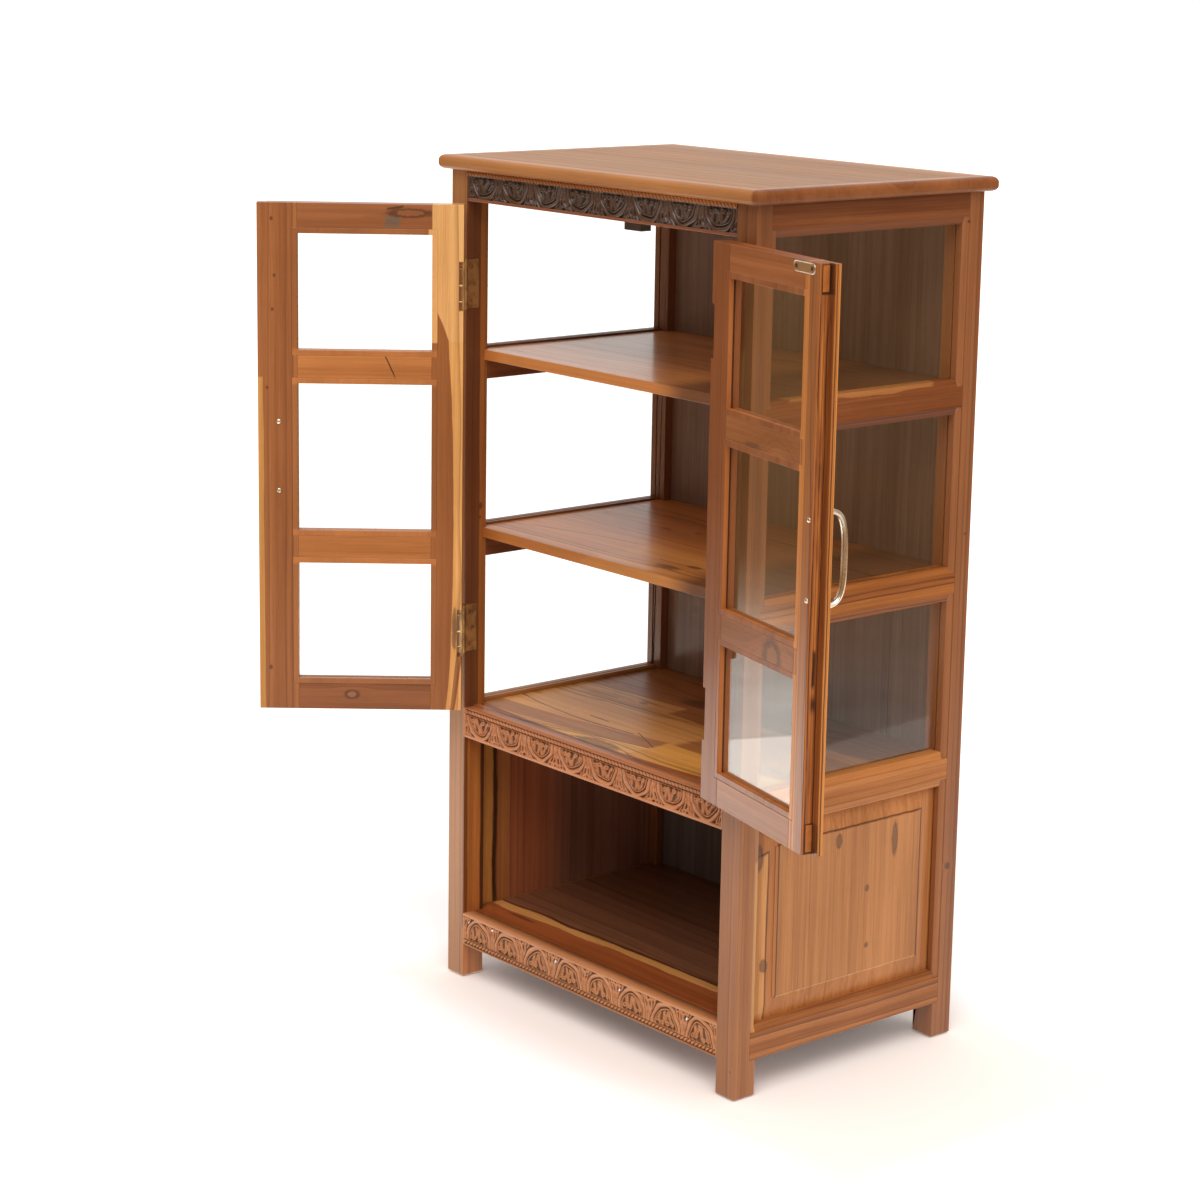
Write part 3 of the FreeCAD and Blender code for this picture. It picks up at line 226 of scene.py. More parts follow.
def makeGrainGroup(noises, look):
    # growth rings: distance from the pith line, bent by slow noise along the board and pulled unevenly apart,
    # divided by the ring width; some rings end in a dark line; fibres and pores are noise drawn out along
    # the grain
    tree, given, output = newGroup("woodGrain", {
        "Grain": None, "Seed": 0.5, "Plank": 0.0, "Push": 0.0, "Ring Width": 0.006, "Waver": 0.02,
        "Pith Across": 0.03, "Pith Through": 0.03,
        "Line Strength": 0.5, "Fibre Strength": 0.5, "Band Strength": 0.5,
        "Pale": grey(0.5), "Deep": grey(0.3), "Line": grey(0.1),
    }, {"Color": "Color", "Dark": "Float", "Height": "Float"})
    seedX, seedY = (times(tree, given["Seed"], gain) for gain in look["seedMoves"])
    plankX, plankY = (
        scaled(tree, given["Plank"], gain, seed) for gain, seed in zip(look["plankMoves"], (seedX, seedY))
    )
    offset = addNode(tree, "CombineXYZ", X=plankX, Y=plankY, Z=seedY).outputs[0]
    place = vectorCalc(tree, "ADD", given["Grain"], offset)
    noise = {}
    for key, (along, across, detail, rough) in noises.items():
        drawnOut = vectorCalc(tree, "MULTIPLY", place, (along, across, across))
        noise[key] = minus(tree, noiseOf(tree, drawnOut, 1.0, detail, rough), 0.5)
    parts = partsOf(tree, given["Grain"])
    seedShift = scaled(tree, given["Seed"], look["seedPith"], -look["seedPith"] / 2)
    plankShift = scaled(tree, given["Plank"], look["plankPith"], seedShift)
    across = minus(tree, minus(tree, parts[1], given["Pith Across"]), plankShift)
    through = minus(tree, parts[2], given["Pith Through"])
    square = scaled(tree, across, across, times(tree, through, through))
    radius = scaled(tree, noise["slow"], given["Waver"], calc(tree, "SQRT", square))
    radius = scaled(tree, times(tree, noise["middle"], look["middle"]), given["Waver"], radius)
    radius = plus(tree, radius, given["Push"])
    phase = calc(tree, "DIVIDE", radius, given["Ring Width"])
    settings = {"noise_dimensions": "1D"}
    pulled = addNode(
        tree, "TexNoise", settings, W=plus(tree, phase, seedX), Scale=look["pullWaves"], Detail=1.0,
    )
    phase = scaled(tree, pulled.outputs["Fac"], look["pull"], phase)
    ring = calc(tree, "FLOOR", phase)
    part = calc(tree, "FRACT", phase)
    fade = oneLess(tree, smoothStep(tree, part, look["lineEnd"], 1.0))
    late = times(tree, calc(tree, "POWER", part, look["linePower"]), fade)
    seedKey, plankKey = look["ringKeys"]
    ringKey = scaled(tree, given["Seed"], seedKey, scaled(tree, given["Plank"], plankKey, ring))
    ringTone = randomOf(tree, ringKey)
    nextTone = randomOf(tree, plus(tree, ringKey, 1.0))
    tone = minus(tree, mixValue(tree, part, ringTone, nextTone), 0.5)
    pore = smoothStep(tree, noise["pore"], *look["poreSpan"])
    amount = scaled(tree, tone, given["Band Strength"], 0.5)
    amount = scaled(tree, noise["broad"], look["broad"], amount)
    for key in ("streak", "fibre"):
        amount = scaled(tree, noise[key], times(tree, given["Fibre Strength"], look[key]), amount)
    clamped = addNode(tree, "Clamp", Value=amount).outputs[0]
    colour = mixColour(tree, clamped, given["Pale"], given["Deep"])
    chosen = scaled(tree, smoothStep(tree, ringTone, *look["lineRings"]), *look["lineGain"])
    lineNow = times(tree, times(tree, late, given["Line Strength"]), chosen)
    lineNow = addNode(tree, "Clamp", Value=lineNow).outputs[0]
    colour = mixColour(tree, lineNow, colour, given["Line"])
    colour = mixColour(tree, times(tree, pore, look["poreDark"]), colour, given["Line"])
    dark = scaled(tree, pore, 0.5, times(tree, late, 0.5))
    height = times(tree, noise["fibre"], look["fibreHeight"])
    height = scaled(tree, pore, look["poreHeight"], scaled(tree, late, look["lineHeight"], height))
    feed(tree, output, Color=colour, Dark=dark, Height=height)
    return tree


def makeKnotGroup(look):
    # a knot: distance from its middle, shortened along the grain; rings bend round it by a bell of
    # that distance
    takes = {"Grain": None, "Along": 0.0, "Across": 0.0, "Size": 0.005, "Stretch": 1.5}
    tree, given, output = newGroup("woodKnot", takes, {"Core": "Float", "Rim": "Float", "Push": "Float"})
    parts = partsOf(tree, given["Grain"])
    wobble = minus(tree, noiseOf(tree, given["Grain"], look["waves"]), 0.5)
    alongPart = calc(tree, "DIVIDE", minus(tree, parts[0], given["Along"]), given["Stretch"])
    acrossPart = minus(tree, parts[1], given["Across"])
    square = scaled(tree, alongPart, alongPart, times(tree, acrossPart, acrossPart))
    distance = calc(tree, "DIVIDE", calc(tree, "SQRT", square), given["Size"])
    distance = scaled(tree, wobble, look["wobble"], distance)
    core = oneLess(tree, smoothStep(tree, distance, *look["core"]))
    outer = oneLess(tree, smoothStep(tree, distance, *look["rimOut"]))
    rim = times(tree, smoothStep(tree, distance, *look["rimIn"]), outer)
    bell = calc(tree, "EXPONENT", times(tree, times(tree, distance, distance), look["bell"]))
    push = times(tree, bell, times(tree, given["Size"], look["push"]))
    feed(tree, output, Core=core, Rim=rim, Push=push)
    return tree


def makeWearGroup(fineness):
    # cloudy hand wear: noise of two sizes, the clouds for tone and roughness, the fine one for bumps
    tree, given, output = newGroup(
        "surfaceWear", {"Place": None, "Size": 1.0}, {"Wear": "Float", "Fine": "Float"},
    )
    cloud = noiseOf(tree, given["Place"], given["Size"], 4.0)
    fine = noiseOf(tree, given["Place"], times(tree, given["Size"], fineness), 3.0)
    feed(tree, output, Wear=cloud, Fine=fine)
    return tree


# shares of the knot's size, and noise waves per metre
knotLook = {
    "waves": 160.0, "wobble": 0.7, "core": (0.55, 1.0), "rimIn": (0.6, 0.9), "rimOut": (1.0, 1.6),
    "bell": -0.16, "push": 1.7,
}
wearFineness = 18.0   # fine waves in a cloud
grainGroup = makeGrainGroup(grainNoises, grainLook)
knotGroup = makeKnotGroup(knotLook)
wearGroup = makeWearGroup(wearFineness)


def wearOf(tree, size):
    place = addNode(tree, "TexCoord").outputs["Object"]
    return useGroup(tree, wearGroup, Place=place, Size=size)


print("stage: shared effects made")


# Wood
# carved sets how dark the painted shade in a carving's hollows is; 0 for a board with no carving
woodBase = {
    "ring": 0.008, "waver": 0.02, "pith": (0.05, 0.035), "lines": 0.45, "fibres": 0.5, "bands": 0.5,
    "rough": 0.36, "coat": 0.22, "coatRough": 0.16, "shine": 0.34, "bump": 0.1,
    "pale": (1.3, 1.27, 1.2), "deep": (0.74, 0.6, 0.44), "line": (0.3, 0.19, 0.13),
    "knotColour": (70, 46, 34), "knotRim": (58, 34, 22), "plankContrast": 0.35, "carved": 0.0,
    "axes": None, "knotsAt": None, "zones": (), "planks": (), "knots": (), "specks": (), "glints": (),
}
woodFinish = {
    "wearSize": 6.0, "wearShade": (0.36, 0.82), "coreCover": 0.72, "rimCover": 0.6, "glintStretch": 1.3,
    "carvedSpan": (0.12, 0.8), "reliefHighlightGain": 1.16, "ringRough": 0.15, "wearRough": 0.12, "roughLess": 0.06,
    "wearHeight": 0.3, "bumpDepth": 0.0004, "wearCoat": 0.2, "coatLess": 0.1, "knotsWithin": 0.08,
}
zoneBase = {"tilt": 0.0, "bend": 0.0, "uneven": 0.0, "soft": 0.5, "amount": 1.0}
zoneWaves = (9.0, 45.0, 45.0)   # waves per metre of the uneven edges
plankStep = 0.37


def toLinear(tone):
    # eight bit colour to linear light: ((c + 0.055) / 1.055) to the power 2.4
    return tuple(((value / 255 + 0.055) / 1.055) ** 2.4 for value in tone)


def woodSpec(tone, **changes):
    return dict(woodBase, tone=tone, **changes)


def railSpec(tone, **changes):
    return woodSpec(tone, **dict({"coat": 0.06, "shine": 0.2}, **changes))


def zone(tone, **changes):
    # a patch of another tone; spans such as along=(low, high) are in millimetres from the board's middle
    return dict(zoneBase, tone=tone, **changes)


def shadeOf(spec, tone, key):
    return tuple(min(part * gain, 1.0) for part, gain in zip(toLinear(tone), spec[key])) + (1,)


def zoneMask(tree, grain, patch):
    # a band or rectangle in board coordinates, leaning by tilt and bowed by bend, with an uneven soft edge
    parts = partsOf(tree, grain)
    waves = vectorCalc(tree, "MULTIPLY", grain, zoneWaves)
    uneven = minus(tree, noiseOf(tree, waves, 1.0, 4.0), 0.5)
    leaning = scaled(tree, parts[0], patch["tilt"], parts[1])
    leaning = scaled(tree, times(tree, parts[0], parts[0]), patch["bend"], leaning)
    centre = partsOf(tree, attribute(tree, "boardPlace", "Vector"))
    # ends along the grain are softer than edges, and the choice of a whole piece is sharp
    axes = {
        "along": (parts[0], 3.0), "across": (leaning, 1.0), "through": (parts[2], 1.0),
        "pieceX": (centre[0], 0.1), "pieceZ": (centre[2], 0.1),
    }
    mask = patch["amount"]
    for key, (axisValue, softer) in axes.items():
        if key not in patch:
            continue
        low, high = (value * mm for value in patch[key])
        soft = patch["soft"] * mm * softer
        value = scaled(tree, uneven, patch["uneven"] * mm * softer, axisValue)
        above = smoothStep(tree, value, low - soft, low + soft)
        below = oneLess(tree, smoothStep(tree, value, high - soft, high + soft))
        mask = times(tree, times(tree, above, below), mask)
    return mask


def knotAt(tree, grain, along, across, size, stretch):
    sizes = {"Along": along * mm, "Across": across * mm, "Size": size * mm, "Stretch": stretch}
    return useGroup(tree, knotGroup, Grain=grain, **sizes)


def makeWood(name, spec):
    material, tree, shader = newMaterial(name)
    look = woodFinish
    grain = attribute(tree, "grain", "Vector")
    seed = attribute(tree, "boardSeed")
    shades = {key: shadeOf(spec, spec["tone"], key) for key in ("pale", "deep", "line")}
    for patch in spec["zones"]:
        mask = zoneMask(tree, grain, patch)
        for key in shades:
            shades[key] = mixColour(tree, mask, shades[key], shadeOf(spec, patch["tone"], key))
    values = {
        "Grain": grain, "Seed": seed, "Ring_Width": spec["ring"], "Waver": spec["waver"],
        "Pith_Across": spec["pith"][0], "Pith_Through": spec["pith"][1],
        "Line_Strength": spec["lines"], "Fibre_Strength": spec["fibres"], "Band_Strength": spec["bands"],
        "Pale": shades["pale"], "Deep": shades["deep"], "Line": shades["line"],
    }
    if spec["planks"]:
        values["Plank"] = plankValue(tree, grain, spec["planks"], spec["plankSpan"])
    knots = [knotAt(tree, grain, *sizes) for sizes in spec["knots"]]
    for knot in knots:
        values["Push"] = plus(tree, values["Push"], knot["Push"]) if "Push" in values else knot["Push"]
    knots += [knotAt(tree, grain, *sizes) for sizes in spec["specks"]]
    figure = useGroup(tree, grainGroup, **values)
    colour = figure["Color"]
    if spec["planks"]:
        tint = randomOf(tree, plus(tree, values["Plank"], seed))
        colour = mixColour(tree, times(tree, tint, spec["plankContrast"]), colour, shades["deep"])
    chosen = 1.0
    if spec["knotsAt"]:
        # only the piece that stands at this height has the knots
        height = partsOf(tree, attribute(tree, "boardPlace", "Vector"))[2]
        chosen = calc(tree, "COMPARE", height, spec["knotsAt"] * mm, look["knotsWithin"])
    for knot in knots:
        for key, cover, tone in (("Core", "coreCover", "knotColour"), ("Rim", "rimCover", "knotRim")):
            mask = times(tree, times(tree, knot[key], chosen), look[cover])
            colour = mixColour(tree, mask, colour, toLinear(spec[tone]) + (1,))
    for sizes in spec["glints"]:
        glint = knotAt(tree, grain, *sizes, look["glintStretch"])
        colour = mixColour(tree, glint["Core"], colour, grey(1.0))
    wear = wearOf(tree, look["wearSize"])
    shade = scaled(tree, wear["Wear"], *look["wearShade"])
    if spec["carved"]:
        # painted shade in the hollows of the carving and a painted highlight on its raised parts: the shade
        # follows the carved height
        raised = smoothStep(tree, attribute(tree, "carved"), *look["carvedSpan"])
        shade = times(tree, shade, scaled(tree, raised, look["reliefHighlightGain"] - spec["carved"], spec["carved"]))
    shadeColour = addNode(tree, "CombineColor", i0=shade, i1=shade, i2=shade).outputs[0]
    colour = mixColour(tree, 1.0, colour, shadeColour, "MULTIPLY")
    rough = scaled(tree, figure["Dark"], look["ringRough"], spec["rough"] - look["roughLess"])
    rough = scaled(tree, wear["Wear"], look["wearRough"], rough)
    height = scaled(tree, wear["Fine"], look["wearHeight"], figure["Height"])
    bump = addNode(tree, "Bump", Strength=spec["bump"], Distance=look["bumpDepth"], Height=height).outputs[0]
    coat = scaled(tree, wear["Wear"], look["wearCoat"], spec["coat"] - look["coatLess"])
    feed(tree, shader, Base_Color=colour, Roughness=rough, Normal=bump, Coat_Weight=coat,
         Coat_Roughness=spec["coatRough"], Specular_IOR_Level=spec["shine"])
    return material


def plankValue(tree, grain, edges, plankSpan):
    # which plank of a jointed board this is: steps across the board
    across = partsOf(tree, grain)[1]
    reach = plankSpan / 2 * mm
    share = addNode(tree, "MapRange", i0=across, i1=-reach, i2=reach).outputs[0]
    ramp = addNode(tree, "ValToRGB", i0=share)
    stops = ramp.color_ramp
    stops.interpolation = "CONSTANT"
    for number, edge in enumerate([-plankSpan / 2] + edges):
        stop = (edge + plankSpan / 2) / plankSpan
        element = stops.elements[number] if number < 2 else stops.elements.new(stop)
        element.position = stop
        element.color = grey((number * plankStep) % 1.0)
    return ramp.outputs[0]


def intoBoardSpace(points, body):
    # turns a door's points back to the closed door, whose sides lie along X, Y and Z
    if body not in doors:
        return points
    pin, angle = doors[body]["pin"], doors[body]["open"]
    x, y = points[:, 0] - pin[0], points[:, 1] - pin[1]
    closed = points.copy()
    closed[:, 0] = x * math.cos(angle) - y * math.sin(angle)
    closed[:, 1] = x * math.sin(angle) + y * math.cos(angle)
    return closed


def pieceLabels(vertexCount, edges):
    # spreads the lowest vertex number along edges until every loose piece has one
    labels = np.arange(vertexCount)
    while True:
        low = np.minimum(labels[edges[:, 0]], labels[edges[:, 1]])
        before = labels.copy()
        np.minimum.at(labels, edges[:, 0], low)
        np.minimum.at(labels, edges[:, 1], low)
        labels = labels[labels]
        if np.array_equal(before, labels):
            return labels


def storeValues(mesh, name, values):
    # one number or one vector for each vertex
    kind, field = ("FLOAT", "value") if values.ndim == 1 else ("FLOAT_VECTOR", "vector")
    mesh.attributes.new(name, kind, "POINT").data.foreach_set(field, values.astype(np.float32).ravel())


def giveGrain(thing, body, axes):
    # board coordinates for each loose piece, about its middle: the axes in the order given,
    # or along its longest side, across the next, through the shortest
    mesh = thing.data
    points = np.empty(len(mesh.vertices) * 3, np.float32)
    mesh.vertices.foreach_get("co", points)
    points = intoBoardSpace(points.reshape(-1, 3), body)
    edges = np.empty(len(mesh.edges) * 2, np.int32)
    mesh.edges.foreach_get("vertices", edges)
    labels = pieceLabels(len(points), edges.reshape(-1, 2))
    grain, standing = np.zeros_like(points), np.zeros_like(points)
    seeds = np.zeros(len(points))
    for label in np.unique(labels):
        chosen = labels == label
        low, high = points[chosen].min(0), points[chosen].max(0)
        order = ["xyz".index(axis) for axis in axes] if axes else list(np.argsort(low - high))
        grain[chosen] = (points[chosen] - (low + high) / 2)[:, order]
        seeds[chosen] = rng.random()
        standing[chosen] = (low + high) / 2
    storeValues(mesh, "grain", grain)
    storeValues(mesh, "boardSeed", seeds)
    storeValues(mesh, "boardPlace", standing)


def fromDoor(body, s, n, z):
    # along the door from the pin, through it, and up, turned to where the door stands
    pin, angle = doors[body]["pin"], abs(doors[body]["open"])
    sign = 1 if body == "left_door" else -1
    x = pin[0] / mm + sign * (s * math.cos(angle) + n * math.sin(angle))
    y = pin[1] / mm - s * math.sin(angle) + n * math.cos(angle)
    return np.stack((x, y, z + 0 * x), -1)


# millimetres and degrees
easing = {"width": 0.6, "shortest": 4.0, "angle": 28.0, "flat": 0.7, "merge": 0.004}


def easedCopy(node, look):
    # a copy of a solid with its long outer edges eased
    mesh = nodes[node].data.copy()
    made = addObject(node + "_shown", mesh)
    shape = bmesh.new()
    shape.from_mesh(mesh)
    bmesh.ops.remove_doubles(shape, verts=shape.verts, dist=look["merge"] * mm)
    bmesh.ops.dissolve_limit(
        shape, angle_limit=math.radians(look["flat"]), verts=shape.verts, edges=shape.edges,
    )
    sharp = [
        edge for edge in shape.edges
        if edge.is_manifold and edge.is_convex and edge.calc_length() > look["shortest"] * mm
        and edge.calc_face_angle(0) > math.radians(look["angle"])
    ]
    bmesh.ops.bevel(
        shape, geom=sharp, offset=look["width"] * mm, offset_type="OFFSET", segments=2, profile=0.5,
        affect="EDGES", clamp_overlap=False,
    )
    for face in shape.faces:
        face.smooth = False
    shape.to_mesh(mesh)
    shape.free()
    mesh.materials.clear()
    return made


hingeNotch = {"s": (0.0, 7.6), "n": (3.0, 31.0), "heights": ((501.0, 571.0), (1004.0, 1074.0))}


def cutHingeNotches(made, body, look):
    # the deep notches that the hinges are let into, cut from the hinge stile with one box each
    for low, high in look["heights"]:
        corners = [(s, n, z) for s in look["s"] for n in look["n"] for z in (low, high)]
        placed = fromDoor(body, *np.array(corners).T)
        shape = bmesh.new()
        bmesh.ops.convex_hull(shape, input=[shape.verts.new(point * mm) for point in placed])
        mesh = bpy.data.meshes.new("hinge_notch")
        shape.to_mesh(mesh)
        shape.free()
        cutter = addObject("hinge_notch", mesh)
        cut = made.modifiers.new("notch", "BOOLEAN")
        cut.object = cutter
        cut.operation = "DIFFERENCE"
        cut.solver = "EXACT"
        bpy.context.view_layer.update()
        evaluated = made.evaluated_get(bpy.context.evaluated_depsgraph_get())
        result = bpy.data.meshes.new_from_object(evaluated)
        made.modifiers.clear()
        made.data = result
        bpy.data.objects.remove(cutter)
        bpy.data.meshes.remove(mesh)


def replaceNode(node, made, material):
    made.data.materials.append(material)
    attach(made, bodyOf[node])
    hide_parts(node)


def dressNode(node, material, axes):
    made = easedCopy(node, easing)
    if node.endswith("door_hinge_stile"):
        cutHingeNotches(made, bodyOf[node], hingeNotch)
    giveGrain(made, bodyOf[node], axes)
    replaceNode(node, made, material)


slotOf = {part["node"]: part["material_slot"] for part in frame["record"]["subparts"]}

yellowWood = (200, 142, 74)
paleBead = (186, 116, 60)
endFace = (-40, -9.6)   # across the right door's meeting stile, what its open edge shows

